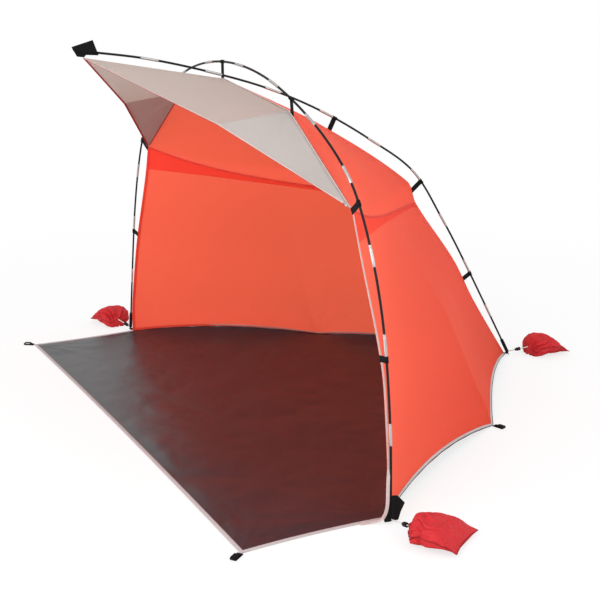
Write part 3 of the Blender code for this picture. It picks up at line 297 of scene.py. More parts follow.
class Route:
    """A smooth curve through points, measured by its own length."""

    STEPS = 24

    def __init__(self, points, smooth=True):
        self.points = self.fine(points) if smooth else [p.copy() for p in points]
        self.lengths = [0.0]
        for a, b in zip(self.points, self.points[1:]):
            self.lengths.append(self.lengths[-1] + (b - a).length)
        self.length = self.lengths[-1]

    def fine(self, points):
        ends = [points[0] * 2.0 - points[1]] + list(points) + [points[-1] * 2.0 - points[-2]]
        fine = []
        for i in range(1, len(ends) - 2):
            p0, p1, p2, p3 = ends[i - 1:i + 3]
            run = (p2 - p1).length
            slope_in = (p2 - p0) / (run + (p1 - p0).length) * run
            slope_out = (p3 - p1) / ((p3 - p2).length + run) * run
            for k in range(self.STEPS):
                t = k / self.STEPS
                fine.append(p1 * (2 * t ** 3 - 3 * t ** 2 + 1)
                            + slope_in * (t ** 3 - 2 * t ** 2 + t)
                            + p2 * (3 * t ** 2 - 2 * t ** 3) + slope_out * (t ** 3 - t ** 2))
        fine.append(points[-1].copy())
        return fine

    def at(self, distance):
        distance = clamp(distance, 0.0, self.length)
        low = 0
        high = len(self.lengths) - 1
        while high - low > 1:
            middle = (low + high) // 2
            if self.lengths[middle] <= distance:
                low = middle
            else:
                high = middle
        t = (distance - self.lengths[low]) / (self.lengths[high] - self.lengths[low])
        return lerp(self.points[low], self.points[high], t)

    def share(self, t):
        return self.at(t * self.length)

    def tangent(self, distance):
        reach = self.length / (len(self.points) * 2)
        return (self.at(distance + reach) - self.at(distance - reach)).normalized()


def linked(name, data):
    item = bpy.data.objects.new(name, data)
    bpy.context.scene.collection.objects.link(item)
    return item


# camera, at the photograph's angle

def add_camera():
    data = bpy.data.cameras.new("camera")
    camera = linked("camera", data)
    camera.location = (3.621, -1.614, 1.467)
    camera.rotation_euler = (math.radians(75.1), 0.0, math.radians(62.07))
    data.sensor_width = 36.0
    data.lens = 65.13
    data.clip_end = 200.0
    bpy.context.scene.camera = camera


add_camera()


# small tools

def deselect():
    if bpy.context.object and bpy.context.object.mode != "OBJECT":
        bpy.ops.object.mode_set(mode="OBJECT")
    bpy.ops.object.select_all(action="DESELECT")


def pick(piece):
    deselect()
    piece.select_set(True)
    bpy.context.view_layer.objects.active = piece


def named(piece, name):
    piece.name = name
    piece.data.name = name
    return piece


def apply_modifier(piece, kind, **settings):
    pick(piece)
    modifier = piece.modifiers.new(kind.lower(), kind)
    for key, value in settings.items():
        setattr(modifier, key, value)
    bpy.ops.object.modifier_apply(modifier=modifier.name)


def merge(piece, distance=1e-5, normals=True):
    pick(piece)
    bpy.ops.object.mode_set(mode="EDIT")
    bpy.ops.mesh.select_all(action="SELECT")
    bpy.ops.mesh.remove_doubles(threshold=distance)
    if normals:
        bpy.ops.mesh.normals_make_consistent(inside=False)
    bpy.ops.object.mode_set(mode="OBJECT")


def settle(piece):
    """Bring a piece's place into its mesh."""
    pick(piece)
    bpy.ops.object.transform_apply(location=True, rotation=True, scale=True)


def finish(piece, material, body="tent", slot=None, nodes=(), angle=42.0):
    piece.data.materials.clear()
    piece.data.materials.append(material)
    pick(piece)
    bpy.ops.object.shade_smooth_by_angle(angle=math.radians(angle))
    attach(piece, body)
    if nodes:
        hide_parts(*nodes)
    return piece


def shaped_grid(name, columns, rows, place, width=1.0, length=1.0):
    """A grid primitive whose points are laid by place(u, v); its UV map is in metres."""
    deselect()
    bpy.ops.mesh.primitive_grid_add(x_subdivisions=columns, y_subdivisions=rows, size=1.0)
    piece = named(bpy.context.object, name)
    mesh = piece.data
    shares = [(v.co.x + 0.5, v.co.y + 0.5) for v in mesh.vertices]
    for vertex, (u, v) in zip(mesh.vertices, shares):
        vertex.co = place(u, v)
    layer = mesh.uv_layers.active or mesh.uv_layers.new(name="UVMap")
    for loop, spot in zip(mesh.loops, layer.data):
        u, v = shares[loop.vertex_index]
        spot.uv = (u * width, v * length)
    return piece


def facing(piece, way):
    """Turn a sheet's faces so that most look along way(point)."""
    mesh = piece.data
    total = 0.0
    for face in mesh.polygons:
        total += face.normal.dot(way(face.center)) * face.area
    if total < 0.0:
        mesh.flip_normals()


def tape(name, edges, half_width, half_thickness, sides=12, power=0.5):
    """A closed tape along stations of (centre, way across, way through)."""
    length = sum((b[0] - a[0]).length for a, b in zip(edges, edges[1:]))
    count = len(edges) - 1

    def place(u, v):
        centre, across, through = edges[round(v * count)]
        angle = 2.0 * math.pi * u
        return (centre + across * (bowed(math.cos(angle), power) * half_width)
                + through * (bowed(math.sin(angle), power) * half_thickness))

    piece = shaped_grid(name, sides, count, place, width=half_width * 4.0, length=length)
    close_ends(piece)
    return piece


def close_ends(piece):
    """Merge a rolled grid's seam and cap its open ends."""
    merge(piece, normals=False)
    bpy.ops.object.mode_set(mode="EDIT")
    bpy.ops.mesh.select_all(action="DESELECT")
    bpy.ops.mesh.select_mode(type="EDGE")
    bpy.ops.mesh.select_non_manifold(extend=False)
    bpy.ops.mesh.edge_face_add()
    bpy.ops.mesh.select_mode(type="VERT")
    bpy.ops.mesh.select_all(action="SELECT")
    bpy.ops.mesh.normals_make_consistent(inside=False)
    bpy.ops.object.mode_set(mode="OBJECT")


def turned(name, profile, sides):
    """A turned shape about X: a ring drawn along a profile of (distance, radius)."""
    deselect()
    x, radius = profile[0]
    bpy.ops.mesh.primitive_circle_add(vertices=sides, radius=radius, fill_type="NOTHING",
                                      location=(x, 0.0, 0.0), rotation=(0.0, math.pi / 2.0, 0.0))
    piece = named(bpy.context.object, name)
    settle(piece)
    bpy.ops.object.mode_set(mode="EDIT")
    bpy.ops.mesh.select_all(action="SELECT")
    for (x0, r0), (x1, r1) in zip(profile, profile[1:]):
        bpy.ops.mesh.extrude_region_move(TRANSFORM_OT_translate={"value": (x1 - x0, 0.0, 0.0)})
        if r1 != r0:
            share = r1 / r0
            bpy.ops.transform.resize(value=(1.0, share, share), center_override=(x1, 0.0, 0.0))
    bpy.ops.object.mode_set(mode="OBJECT")
    close_ends(piece)
    return piece


def copied(piece, name, offset=0.0):
    double = piece.copy()
    double.data = piece.data.copy()
    bpy.context.scene.collection.objects.link(double)
    named(double, name)
    double.data.transform(Matrix.Translation((offset, 0.0, 0.0)))
    return double


def discard(*items):
    for item in items:
        bpy.data.objects.remove(item, do_unlink=True)


def guide(route, name):
    """A curve object that a pole is bent along."""
    data = bpy.data.curves.new(name, "CURVE")
    data.dimensions = "3D"
    data.twist_mode = "MINIMUM"
    spline = data.splines.new("POLY")
    spline.points.add(len(route.points) - 1)
    for point, place in zip(spline.points, route.points):
        point.co = (*place, 1.0)
    return linked(name, data)


# materials

def colour(text):
    """An sRGB hex value as a linear colour."""
    parts = [int(text[i:i + 2], 16) / 255.0 for i in (1, 3, 5)]
    return (*[p / 12.92 if p <= 0.04045 else ((p + 0.055) / 1.055) ** 2.4 for p in parts], 1.0)


def add(material, kind, inputs=None, **settings):
    """Add a node, set its properties, and give its inputs values, other nodes (for their first
    output) or outputs."""
    tree = material.node_tree
    node = tree.nodes.new(kind)
    for key, value in settings.items():
        setattr(node, key, value)
    for key, value in (inputs or {}).items():
        if isinstance(value, bpy.types.Node):
            value = value.outputs[0]
        if isinstance(value, bpy.types.NodeSocket):
            tree.links.new(value, node.inputs[key])
        else:
            node.inputs[key].default_value = value
    return node


def blank(name):
    material = bpy.data.materials.new(name)
    material.use_nodes = True
    material.node_tree.nodes.clear()
    return material


def woven(name, base, shade, thread=0.0016, roughness=0.60, depth=0.10, pass_through=0.0,
          lit="#FFFFFF", sheen=0.0, creases=0.0, crease_scale=9.0, gleam=0.5):
    """Cloth on its own UV map in metres: two crossed sets of threads, slow colour change,
    soft creases, and light that comes through it."""
    material = blank(name)
    uv = add(material, "ShaderNodeTexCoord").outputs["UV"]
    place = add(material, "ShaderNodeTexCoord").outputs["Object"]
    bands = [add(material, "ShaderNodeTexWave", {"Vector": uv, "Scale": WAVE_BAND / thread},
                 wave_type="BANDS", bands_direction=direction).outputs["Fac"]
             for direction in ("X", "Y")]
    weave = add(material, "ShaderNodeMath", {0: bands[0], 1: bands[1]}, operation="MULTIPLY")
    patches = add(material, "ShaderNodeTexNoise",
                  {"Vector": place, "Scale": 3.0, "Detail": 3.0}).outputs["Fac"]
    fine = add(material, "ShaderNodeTexNoise",
               {"Vector": place, "Scale": 220.0, "Detail": 2.0}).outputs["Fac"]
    mixed = add(material, "ShaderNodeMath", {0: patches, 1: fine, 2: fine},
                operation="MULTIPLY_ADD")
    spread = add(material, "ShaderNodeMapRange",
                 {"Value": mixed, "From Min": 0.55, "From Max": 1.15})
    tint = add(material, "ShaderNodeMix", {"Factor": spread, 6: colour(base), 7: colour(shade)},
               data_type="RGBA")
    crease = add(material, "ShaderNodeTexNoise", {"Vector": place, "Scale": crease_scale,
                                                  "Detail": 4.0, "Roughness": 0.55})
    soft = add(material, "ShaderNodeBump", {"Height": crease.outputs["Fac"], "Strength": creases,
                                            "Distance": 0.02})
    bump = add(material, "ShaderNodeBump", {"Height": weave, "Strength": depth,
                                            "Distance": thread * 0.3, "Normal": soft})
    surface = add(material, "ShaderNodeBsdfPrincipled",
                  {"Base Color": tint.outputs[2], "Roughness": roughness,
                   "Specular IOR Level": gleam, "Sheen Weight": sheen, "Sheen Roughness": 0.4,
                   "Normal": bump})
    if pass_through > 0.0:
        glow = add(material, "ShaderNodeBsdfTranslucent", {"Color": colour(lit), "Normal": bump})
        surface = add(material, "ShaderNodeMixShader", {0: pass_through, 1: surface, 2: glow})
    add(material, "ShaderNodeOutputMaterial", {"Surface": surface})
    return material


def solid(name, base, shade, roughness, grain, bump, metallic=0.0, gleam=0.5):
    """Plastic, metal or glass fibre: fine grain in its colour, gloss and relief."""
    material = blank(name)
    place = add(material, "ShaderNodeTexCoord").outputs["Object"]
    marks = add(material, "ShaderNodeTexNoise",
                {"Vector": place, "Scale": grain, "Detail": 5.0}).outputs["Fac"]
    tint = add(material, "ShaderNodeMix", {"Factor": marks, 6: colour(base), 7: colour(shade)},
               data_type="RGBA")
    gloss = add(material, "ShaderNodeMapRange", {"Value": marks, "To Min": roughness * 0.75,
                                                 "To Max": roughness * 1.25})
    relief = add(material, "ShaderNodeBump", {"Height": marks, "Strength": bump,
                                              "Distance": 0.0003})
    shader = add(material, "ShaderNodeBsdfPrincipled",
                 {"Base Color": tint.outputs[2], "Roughness": gloss, "Metallic": metallic,
                  "Specular IOR Level": gleam, "Normal": relief})
    add(material, "ShaderNodeOutputMaterial", {"Surface": shader})
    return material


# Polyurethane-coated polyester taffeta: smooth and close, so it shines softly and lets the
# daylight through as a glow. Real threads are 0.2 mm and are drawn at 1.6 mm to show at all.
CORAL = woven("coated_coral_polyester", "#FB533B", "#F54B38", pass_through=0.70, lit="#FFB49C",
              sheen=0.04, creases=0.10)
FACING = woven("doubled_coral_polyester", "#FB4440", "#F53A3A", pass_through=0.82,
               lit="#FFD8CE", sheen=0.04, creases=0.08)
GREY = woven("coated_grey_polyester", "#C6BCB5", "#BDB4AE", pass_through=0.50, lit="#EFE6E0",
             sheen=0.05, creases=0.08)
# Painted shade: the grey cloth made darker for the visor's corner panels, with less light through
GREY_PAINTED_SHADE = woven("grey_polyester_painted_shade", "#B9B0AB", "#AFA6A2", pass_through=0.12,
                     lit="#C9B3A8", sheen=0.05, creases=0.08)
# Groundsheet: a heavier oxford weave with a thick coating, so it is darker and glossier
GROUND = woven("coated_oxford_groundsheet", "#242329", "#1F1E23", 0.0022, 0.37, 0.22,
               creases=0.10, crease_scale=14.0, gleam=0.62)
# Uncoated polyester of the sandbags: softer, with open wrinkles
BAG_CLOTH = woven("sewn_red_polyester", "#C6242A", "#AE1C22", 0.0014, 0.66, 0.18,
                  creases=0.35, crease_scale=38.0, gleam=0.30)
# Twisted thread piping round each bag's outline
BAG_PIPING = woven("dark_red_corded_piping", "#8E1C22", "#7C171C", 0.0010, 0.75, 0.50,
                   gleam=0.25)
# Polypropylene webbing: ribs across the band, dull black with a slight sheen
WEBBING_BLACK = woven("black_polypropylene_webbing", "#0D0D0E", "#070708", 0.0018, 0.75, 0.60,
                      gleam=0.14)
# Grosgrain binding tape, folded over each raw edge
BINDING = woven("pale_grosgrain_binding", "#C6B2AE", "#B7A29F", 0.0012, 0.75, 0.40, gleam=0.25)
PORCH_TAPE = woven("grey_grosgrain_binding", "#BAB3B3", "#A8A1A2", 0.0012, 0.75, 0.40,
                   gleam=0.25)
# Felled seams: thread and folded cloth, so they are matt and let little light through
SEAM = woven("felled_coral_seam", "#E2402F", "#D23628", 0.0012, 0.65, 0.50, pass_through=0.30,
             lit="#FF8068")
SEAM_RED = woven("dark_red_thread_seam", "#A82430", "#941C28", 0.0012, 0.70, 0.50)
# Pultruded fibreglass: glossy resin over long glass threads
TUBE = solid("black_pultruded_fibreglass", "#0E0E10", "#16161A", 0.46, 160.0, 0.15, gleam=0.16)
# Nickel-plated ferrule: pale, with fine drawing marks
FERRULE = solid("nickel_plated_ferrule", "#BDB9B7", "#A6A2A1", 0.34, 220.0, 0.12, metallic=0.85)
# Moulded acetal: a smooth satin black
MOULDED = solid("moulded_black_acetal", "#121214", "#0C0C0E", 0.42, 420.0, 0.10, gleam=0.20)
# Braided polyester cord
CORD = woven("white_braided_cord", "#DDD9D3", "#BFBAB3", 0.0011, 0.78, 0.80, gleam=0.30)


# the canopy's surfaces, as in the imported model

HALF_HOOP = [Vector((x * FOOT_SPREAD / 2.0, HOOP_BOW * arch(z), z * HOOP_HEIGHT))
             for x, z in HOOP_SHARES]
HOOP = Route([Vector((-p.x, p.y, p.z)) for p in HALF_HOOP] + HALF_HOOP[-2::-1])
RIDGE = Route([Vector((0.0, y * (REAR_REACH if y > 0.0 else TIP_REACH), z * TIP_HEIGHT))
               for y, z in RIDGE_SHARES])
CANOPY = Route([Vector((0.0, y * REAR_HEM_REACH, lerp(HEM_END_BASE, BORDER_TOP_HEIGHT, z)))
                for y, z in CANOPY_RIDGE_SHARES])
SEAM_PLACE = CANOPY.lengths[SEAM_END_INDEX * Route.STEPS]
HEART = Vector((0.0, HEART_REACH_SHARE * REAR_REACH, HEART_HEIGHT_SHARE * HOOP_HEIGHT))


def outward(point):
    return (point - HEART).normalized()


def upward(point):
    return UP


def canopy_corner(side, width_share, height_share, reach=BORDER_SET_BACK):
    return Vector((side * width_share * FOOT_SPREAD / 2.0, reach,
                   height_share * BORDER_TOP_HEIGHT))


BORDER_TOP = Vector((0.0, 0.0, BORDER_TOP_HEIGHT))
VISOR_TIP = Vector((0.0, -VISOR_TIP_REACH, VISOR_TIP_HEIGHT))
SHOULDER = {side: canopy_corner(side, *SHOULDER_SHARES) for side, _ in SIDES}
CORNER = {side: canopy_corner(side, *CORNER_SHARES) for side, _ in SIDES}
VISOR_EDGE = {side: canopy_corner(side, *VISOR_EDGE_SHARES,
                                  -VISOR_EDGE_REACH_SHARE * VISOR_TIP_REACH)
              for side, _ in SIDES}
VISOR_WAY = {side: Vector((side * 0.35, -0.1, 0.93)).normalized() for side, _ in SIDES}


def front_hem(side):
    top = CORNER[side]
    points = []
    for x_share, z_share in FRONT_HEM_SHARES:
        x = lerp(side * top.x, HEM_FOOT_HALF_WIDTH, x_share)
        y = top.y * (1.0 + 0.5 * x_share - 1.5 * x_share ** 4)
        z = lerp(HEM_END_BASE, top.z, z_share)
        x += (HEM_FOOT_BOW * ease(z / HEM_BOW_RISE)
              * (1.0 - ease((z - HEM_BOW_TOP) / HEM_BOW_FADE)))
        points.append(Vector((side * x, y, z)))
    return Route(points)


FRONT_HEM = {side: front_hem(side) for side, _ in SIDES}


def drawn(a, b, t, draw, rise):
    """A hem between two held points, drawn in and lifted in its middle."""
    across = Vector((a.y - b.y, b.x - a.x, 0.0)).normalized()
    middle = Vector((0.0, HEART.y, 0.0))
    if across.dot(middle - (a + b) / 2.0) < 0.0:
        across = -across
    return lerp(a, b, t) + across * (draw * arch(t)) + UP * (rise * arch(t))


def lower_hem(side, t, lip=0.0):
    """The wall's lower edge: hoop foot, side peg, rear foot."""
    width_share, reach_share = SIDE_PEG_SHARES
    foot = Vector((side * (HEM_FOOT_HALF_WIDTH + lip), FRONT_HEM[side].points[-1].y, 0.0))
    peg = Vector((side * (width_share * FOOT_SPREAD / 2.0 + lip),
                  reach_share * REAR_HEM_REACH + lip, 0.0))
    rear = Vector((0.0, REAR_HEM_REACH + lip, 0.0))
    part = (foot, peg, t * 2.0) if t <= 0.5 else (peg, rear, t * 2.0 - 1.0)
    return drawn(*part, HEM_DRAW, HEM_RISE)


def border_point(side, t):
    return over(BORDER_TOP, SHOULDER[side], CORNER[side], t)


def seam_point(side, t):
    sag = SEAM_SAG * SAG_SCALE * t ** 2 * (1.0 - t)
    return lerp(CANOPY.at(SEAM_PLACE), CORNER[side], t) - UP * sag


def belly(u, v):
    return WALL_FULLNESS * math.sin(math.pi * u) * math.sin(math.pi * v)


def edge_calm(u, v, width=0.10):
    """Zero at a panel's edges and one inside, so that neighbours still meet."""
    return ease(min(u, 1.0 - u) / width) * ease(min(v, 1.0 - v) / width)


def pulled(point, normal, spot, folds, height, reach):
    """Tension folds that fan out from a spot where the cloth is held."""
    away = point - spot
    run = away.length
    if run < 1e-6 or run > reach * 4.0:
        return 0.0
    across = normal.cross(UP)
    across = across.normalized() if across.length > 0.05 else Vector((1.0, 0.0, 0.0))
    along = normal.cross(across)
    angle = math.atan2(away.dot(along), away.dot(across))
    fade = run / (run + 0.04) * math.exp(-run / reach)
    return height * math.cos(folds * angle) * fade


def waves(point, scale, height, seed):
    """Slow swells of slack cloth."""
    shift = Vector((seed, seed * 1.7, seed * 0.6))
    return height * noise.noise(point * scale + shift)


def folded(point, normal, swell, *held):
    """How far a point is lifted: swell is (scale, height, seed) of the slack cloth's waves, and
    each held place gives (spot, number, height, reach) of its tension folds."""
    return sum(pulled(point, normal, *place) for place in held) + waves(point, *swell)


def visor_at(side, u, v):
    front = over(VISOR_TIP, VISOR_EDGE[side], CORNER[side], v)
    point = lerp(front, border_point(side, v), u)
    normal = VISOR_WAY[side]
    fold = folded(point, normal, (5.0, 0.004, 3.1 + side),
                  (Vector((side * 0.02, 0.0, BORDER_TOP_HEIGHT)), 7.0, 0.0035, 0.10),
                  (SHOULDER[side], 9.0, 0.0040, 0.09), (VISOR_TIP, 8.0, 0.0025, 0.08))
    return point + normal * (fold * edge_calm(u, v))


def roof_at(side, u, w):
    bow = CANOPY.at(u * SEAM_PLACE) - lerp(CANOPY.at(0.0), CANOPY.at(SEAM_PLACE), u)
    point = lerp(border_point(side, w), seam_point(side, w), u) + bow * (1.0 - w)
    normal = outward(point)
    fold = folded(point, normal, (4.5, 0.006, 8.3 + side), (SHOULDER[side], 9.0, 0.0045, 0.10),
                  (CANOPY.share(ROOF_TARGET_SHARE), 8.0, 0.003, 0.10))
    return point + normal * (belly(u, w) + fold * edge_calm(u, w))


def wall_frame(side, u, v):
    """The wall's ruled surface before any folds."""
    foot = lower_hem(side, 0.0) + UP * HEM_BASE
    rear = lower_hem(side, 1.0) + UP * HEM_BASE
    blend = max(0.0, 1.0 - v * CAD_WALL_ROWS)
    left = lerp(FRONT_HEM[side].share(1.0 - v), foot, blend)
    right = lerp(CANOPY.at(lerp(CANOPY.length, SEAM_PLACE, v)), rear, blend)
    point = lerp(lower_hem(side, u) + UP * HEM_BASE, seam_point(side, 1.0 - u), v)
    chord = lerp(seam_point(side, 1.0), seam_point(side, 0.0), u)
    return point + lerp(left, right, u) - lerp(lerp(foot, rear, u), chord, v)


def wall_at(side, u, v):
    point = wall_frame(side, u, v)
    normal = outward(point)
    fold = folded(point, normal, (3.2, 0.007, 1.3 + side),
                  (FRONT_HEM[side].share(SIDE_TARGET_SHARE), 9.0, 0.0035, 0.10),
                  (lower_hem(side, 0.0), 12.0, 0.004, 0.12),
                  (lower_hem(side, 0.5), 10.0, 0.006, 0.13),
                  (CANOPY.share(REAR_TARGET_SHARE), 8.0, 0.004, 0.10))
    return point + normal * (belly(u, v) + fold * edge_calm(u, v, 0.07))


def panel(side, at, start, share):
    """The part of a surface that begins at v = start, held off the middle."""
    def place(u, v):
        point = at(side, u, start + v * share)
        if side * point.x < MIDDLE_GAP:
            point.x = side * MIDDLE_GAP
        return point
    return place


# Each panel: its name, surface, first v and share of v, grid, size of its UV map, material,
# slot, flat size, and what it rests on
canopy_pieces = []
for side, word in SIDES:
    shoulder = "shoulder_strap_" + word
    corner = "corner_strap_" + word
    for name, at, part, grid, size, material, slot, flat_size, rests_on in (
            ("visor", visor_at, (0.0, 0.5), (64, 44), (0.5, 0.6), GREY, "grey_cloth",
             (0.54, 0.62), ["apex_strap", shoulder]),
            # The corner panel takes the grey cloth with painted shade
            ("visor_corner", visor_at, (0.5, 0.5), (64, 44), (0.4, 0.6), GREY_PAINTED_SHADE,
             "grey_cloth", (0.27, 0.52), [shoulder, corner]),
            ("roof", roof_at, (0.0, 1.0), (80, 80), (0.9, 1.05), CORAL, "coral_cloth",
             (0.90, 1.10), ["roof_strap", shoulder, corner]),
            ("wall", wall_at, (0.0, 1.0), (150, 100), (1.75, 0.9), CORAL, "coral_cloth",
             (1.75, 1.05), ["rear_strap", "side_strap_" + word, "floor_sheet"])):
        piece = shaped_grid(f"{name}_cloth_{word}", *grid, panel(side, at, *part), *size)
        merge(piece, normals=False)
        facing(piece, outward)
        apply_modifier(piece, "SOLIDIFY", thickness=CLOTH, offset=0.0, use_even_offset=True)
        finish(piece, material, slot=slot, nodes=[name.split("_")[0] + "_" + word])
        canopy_pieces.append(piece)
        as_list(rests_on)


# the facing inside the wall, under the roof seam

def inner_band(side, u, v):
    height = lerp(BAND_AT_RIDGE, BAND_AT_CORNER, (1.0 - u) ** BAND_POWER)
    tall = (wall_frame(side, u, 1.0) - wall_frame(side, u, 0.6)).length / 0.4
    point = wall_at(side, clamp(u, 0.004, 0.996), 1.0 - v * height / max(tall, 0.2))
    return point - outward(point) * BAND_DEPTH


for side, word in SIDES:
    lining = shaped_grid("seam_facing_" + word, 120, 10,
                         lambda u, v: inner_band(side, u, v), 1.2, 0.1)
    facing(lining, lambda point: -outward(point))
    apply_modifier(lining, "SOLIDIFY", thickness=0.0006, offset=0.0)
    finish(lining, FACING, slot="coral_cloth")


# the floor

def porch_corner(side):
    return Vector((side * PORCH_WIDTH_SHARE * FOOT_SPREAD / 2.0, -PORCH_REACH, 0.0))


def floor_side(side, t):
    """The floor's bound edge along one side: porch corner, foot, side peg, rear."""
    if t <= 0.25:
        return drawn(porch_corner(side), lower_hem(side, 0.0, FLOOR_LIP), t * 4.0, PORCH_DRAW,
                     0.0)
    return lower_hem(side, (t - 0.25) / 0.75, FLOOR_LIP)


EDGE_SHARES = shares(400)
EDGE_POINTS = [floor_side(side, s) for side, _ in SIDES for s in EDGE_SHARES]
EDGE_POINTS += [lerp(EDGE_POINTS[0], porch_corner(1.0), s)
                + Vector((0.0, PORCH_DRAW * arch(s), 0.0)) for s in EDGE_SHARES]
EDGE_TREE = point_tree([flat(point) for point in EDGE_POINTS])


def floor_at(u, v):
    left = floor_side(-1.0, v)
    point = Vector((lerp(left.x, -left.x, u), left.y, 0.0))
    point.y += PORCH_DRAW * arch(u) * (1.0 - ease(v / 0.2))
    _, nearest, distance = EDGE_TREE.find(point)
    climb = max(0.0, 1.0 - distance / FLOOR_EDGE_WIDTH) ** GROUND_CLIMB_POWER
    swell = sum(abs(waves(point, *row)) for row in GROUND_SWELLS)
    for side, _ in SIDES:
        for spot in (porch_corner(side), Vector((side * HEM_FOOT_HALF_WIDTH, 0.0, 0.0))):
            away = point - spot
            ripple = math.cos(RIPPLE_COUNT * math.atan2(away.y, -side * away.x))
            swell += (RIPPLE_HEIGHT * (0.5 + 0.5 * ripple)
                      * math.exp(-away.length / RIPPLE_REACH))
    point.z = (GROUND_REST + EDGE_POINTS[nearest].z * climb
               + swell * ease(distance / GROUND_CALM))
    return point


floor = shaped_grid("floor_cloth", 150, 190, floor_at, 2.24, 1.82)
merge(floor, distance=2e-5, normals=False)
facing(floor, upward)
apply_modifier(floor, "SOLIDIFY", thickness=GROUND_CLOTH, offset=0.0)
finish(floor, GROUND, slot="floor_cloth", nodes=["floor_sheet"])


# bindings and seams: a tape runs along stations of (centre, way across, way through)

def stations(spots, at, across, through):
    """The stations at some shares; across gets the share and the centre, through the centre."""
    result = []
    for s in spots:
        centre = at(s)
        result.append((centre, across(s, centre).normalized(), through(centre)))
    return result


def moved(edge, across, through):
    return [(c + x * across + t * through, x, t) for c, x, t in edge]


def squared(edge):
    """Make each station's two ways square to the tape's run."""
    result = []
    for i, (centre, across, _) in enumerate(edge):
        run = edge[min(i + 1, len(edge) - 1)][0] - edge[max(i - 1, 0)][0]
        run.normalize()
        across = (across - run * across.dot(run)).normalized()
        result.append((centre, across, run.cross(across)))
    return result


def on_wall(edge, thickness):
    """The stations laid on a wall's outer face."""
    off = (CLOTH + thickness) / 2.0 + TAPE_GAP
    return [(c + t * math.copysign(off, t.dot(outward(c))), x, t) for c, x, t in squared(edge)]


def add_tape(name, edge, width, thickness, material, slot, lowest=0.0):
    piece = tape(name, squared(edge), width / 2.0, thickness / 2.0)
    for vertex in piece.data.vertices:
        vertex.co.z = max(vertex.co.z, lowest)
    return finish(piece, material, slot=slot)


for side, word in SIDES:
    def visor_way(point):
        return VISOR_WAY[side]

    front = moved(stations(shares(90), lambda s: wall_at(side, 0.0, 1.0 - s),
                           lambda s, c: wall_at(side, 0.012, 1.0 - s) - c, upward),
                  FRONT_HEM_WIDTH / 2.0 + FRONT_HEM_SHIFT[side], 0.0)
    lower = moved(stations(shares(160), lambda s: wall_at(side, s, 0.0),
                           lambda s, c: wall_at(side, s, 0.02) - c, upward),
                  LOWER_HEM_WIDTH / 2.0, 0.0)
    porch = stations(shares(60, 0.0, 0.25), lambda s: floor_side(side, s),
                     lambda s, c: Vector((-side, 0.0, 0.0)), upward)
    visor = stations(shares(160)[:-2], lambda s: visor_at(side, 0.0, s),
                     lambda s, c: visor_at(side, 0.06, min(s, 0.97)) - c, visor_way)
    fold = stations(shares(60, 0.01, 0.985), lambda s: visor_at(side, s, 0.5),
                    lambda s, c: visor_at(side, s, 0.52) - visor_at(side, s, 0.48), visor_way)
    seam = stations(shares(110)[1:], lambda s: roof_at(side, 1.0, s),
                    lambda s, c: wall_frame(side, 1.0 - s, 0.95) - c, outward)
    border = stations(shares(110)[:-1], lambda s: border_point(side, s),
                      lambda s, c: roof_at(side, 0.05, min(s, 0.98)) - c, outward)
    for name, edge, width, thickness, material, slot, lowest in (
            ("front_hem_tape_", on_wall(front, FRONT_HEM_THICKNESS), FRONT_HEM_WIDTH,
             FRONT_HEM_THICKNESS, BINDING, "coral_cloth", TAPE_LOWEST),
            ("lower_hem_tape_", on_wall(lower, LOWER_HEM_THICKNESS), LOWER_HEM_WIDTH,
             LOWER_HEM_THICKNESS, PORCH_TAPE, "floor_cloth", TAPE_LOWEST),
            ("porch_side_tape_",
             moved(porch, PORCH_TAPE_WIDTH / 2.0 - PORCH_TAPE_PAST, PORCH_TAPE_LIFT),
             PORCH_TAPE_WIDTH, TAPE_THICKNESS, PORCH_TAPE, "floor_cloth", PORCH_TAPE_LOWEST),
            ("visor_hem_tape_", moved(visor, VISOR_HEM_INSET, VISOR_HEM_LIFT), VISOR_HEM_WIDTH,
             VISOR_HEM_THICKNESS, BINDING, "grey_cloth", 0.0),
            ("visor_hem_lining_", moved(visor, VISOR_HEM_INSET, -VISOR_HEM_LIFT),
             VISOR_HEM_WIDTH, VISOR_HEM_THICKNESS, SEAM_RED, "coral_cloth", 0.0),
            # The fold's seam tape is in the grey cloth with painted shade too
            ("visor_fold_seam_", fold, 0.0045, 0.0022, GREY_PAINTED_SHADE, "grey_cloth", 0.0),
            ("roof_seam_", moved(seam, 0.0, 0.0004), SEAM_WIDTH, 0.0024, SEAM, "coral_cloth",
             0.0),
            ("border_tape_", moved(border, -BORDER_SHIFT, BORDER_LIFT), 0.0065,
             BORDER_THICKNESS, BINDING, "grey_cloth", 0.0),
            ("border_seam_", moved(border, BORDER_SHIFT, BORDER_LIFT), 0.0050,
             BORDER_THICKNESS, SEAM_RED, "coral_cloth", 0.0)):
        add_tape(name + word, edge, width, thickness, material, slot, lowest)

# By the right foot the binding swings out over the pocket. The left foot's cord leaves there.
curl = Route([Vector(p) for p in FOOT_BINDING])
swing = []
for t in shares(80):
    outside = lerp(BINDING_BY_POLE, BINDING_ON_GROUND, ease((t - 0.5) / 0.3))
    run = curl.tangent(t * curl.length)
    swing.append((curl.share(t), run.cross(outside).normalized(), outside))
add_tape("foot_binding_right", swing, 0.011, 0.0020, BINDING, "coral_cloth", TAPE_LOWEST)

porch = stations(shares(120), lambda s: flat(floor_at(s, 0.0)),
                 lambda s, c: Vector((0.0, 1.0, 0.0)), upward)
add_tape("porch_front_tape",
         moved(porch, PORCH_TAPE_WIDTH / 2.0 - PORCH_TAPE_PAST, PORCH_TAPE_LIFT),
         PORCH_TAPE_WIDTH, TAPE_THICKNESS, PORCH_TAPE, "floor_cloth", PORCH_TAPE_LOWEST)


# poles

def stations_between(start, end):
    return shares(max(1, math.ceil((end - start) / STATION_STEP)), start, end)


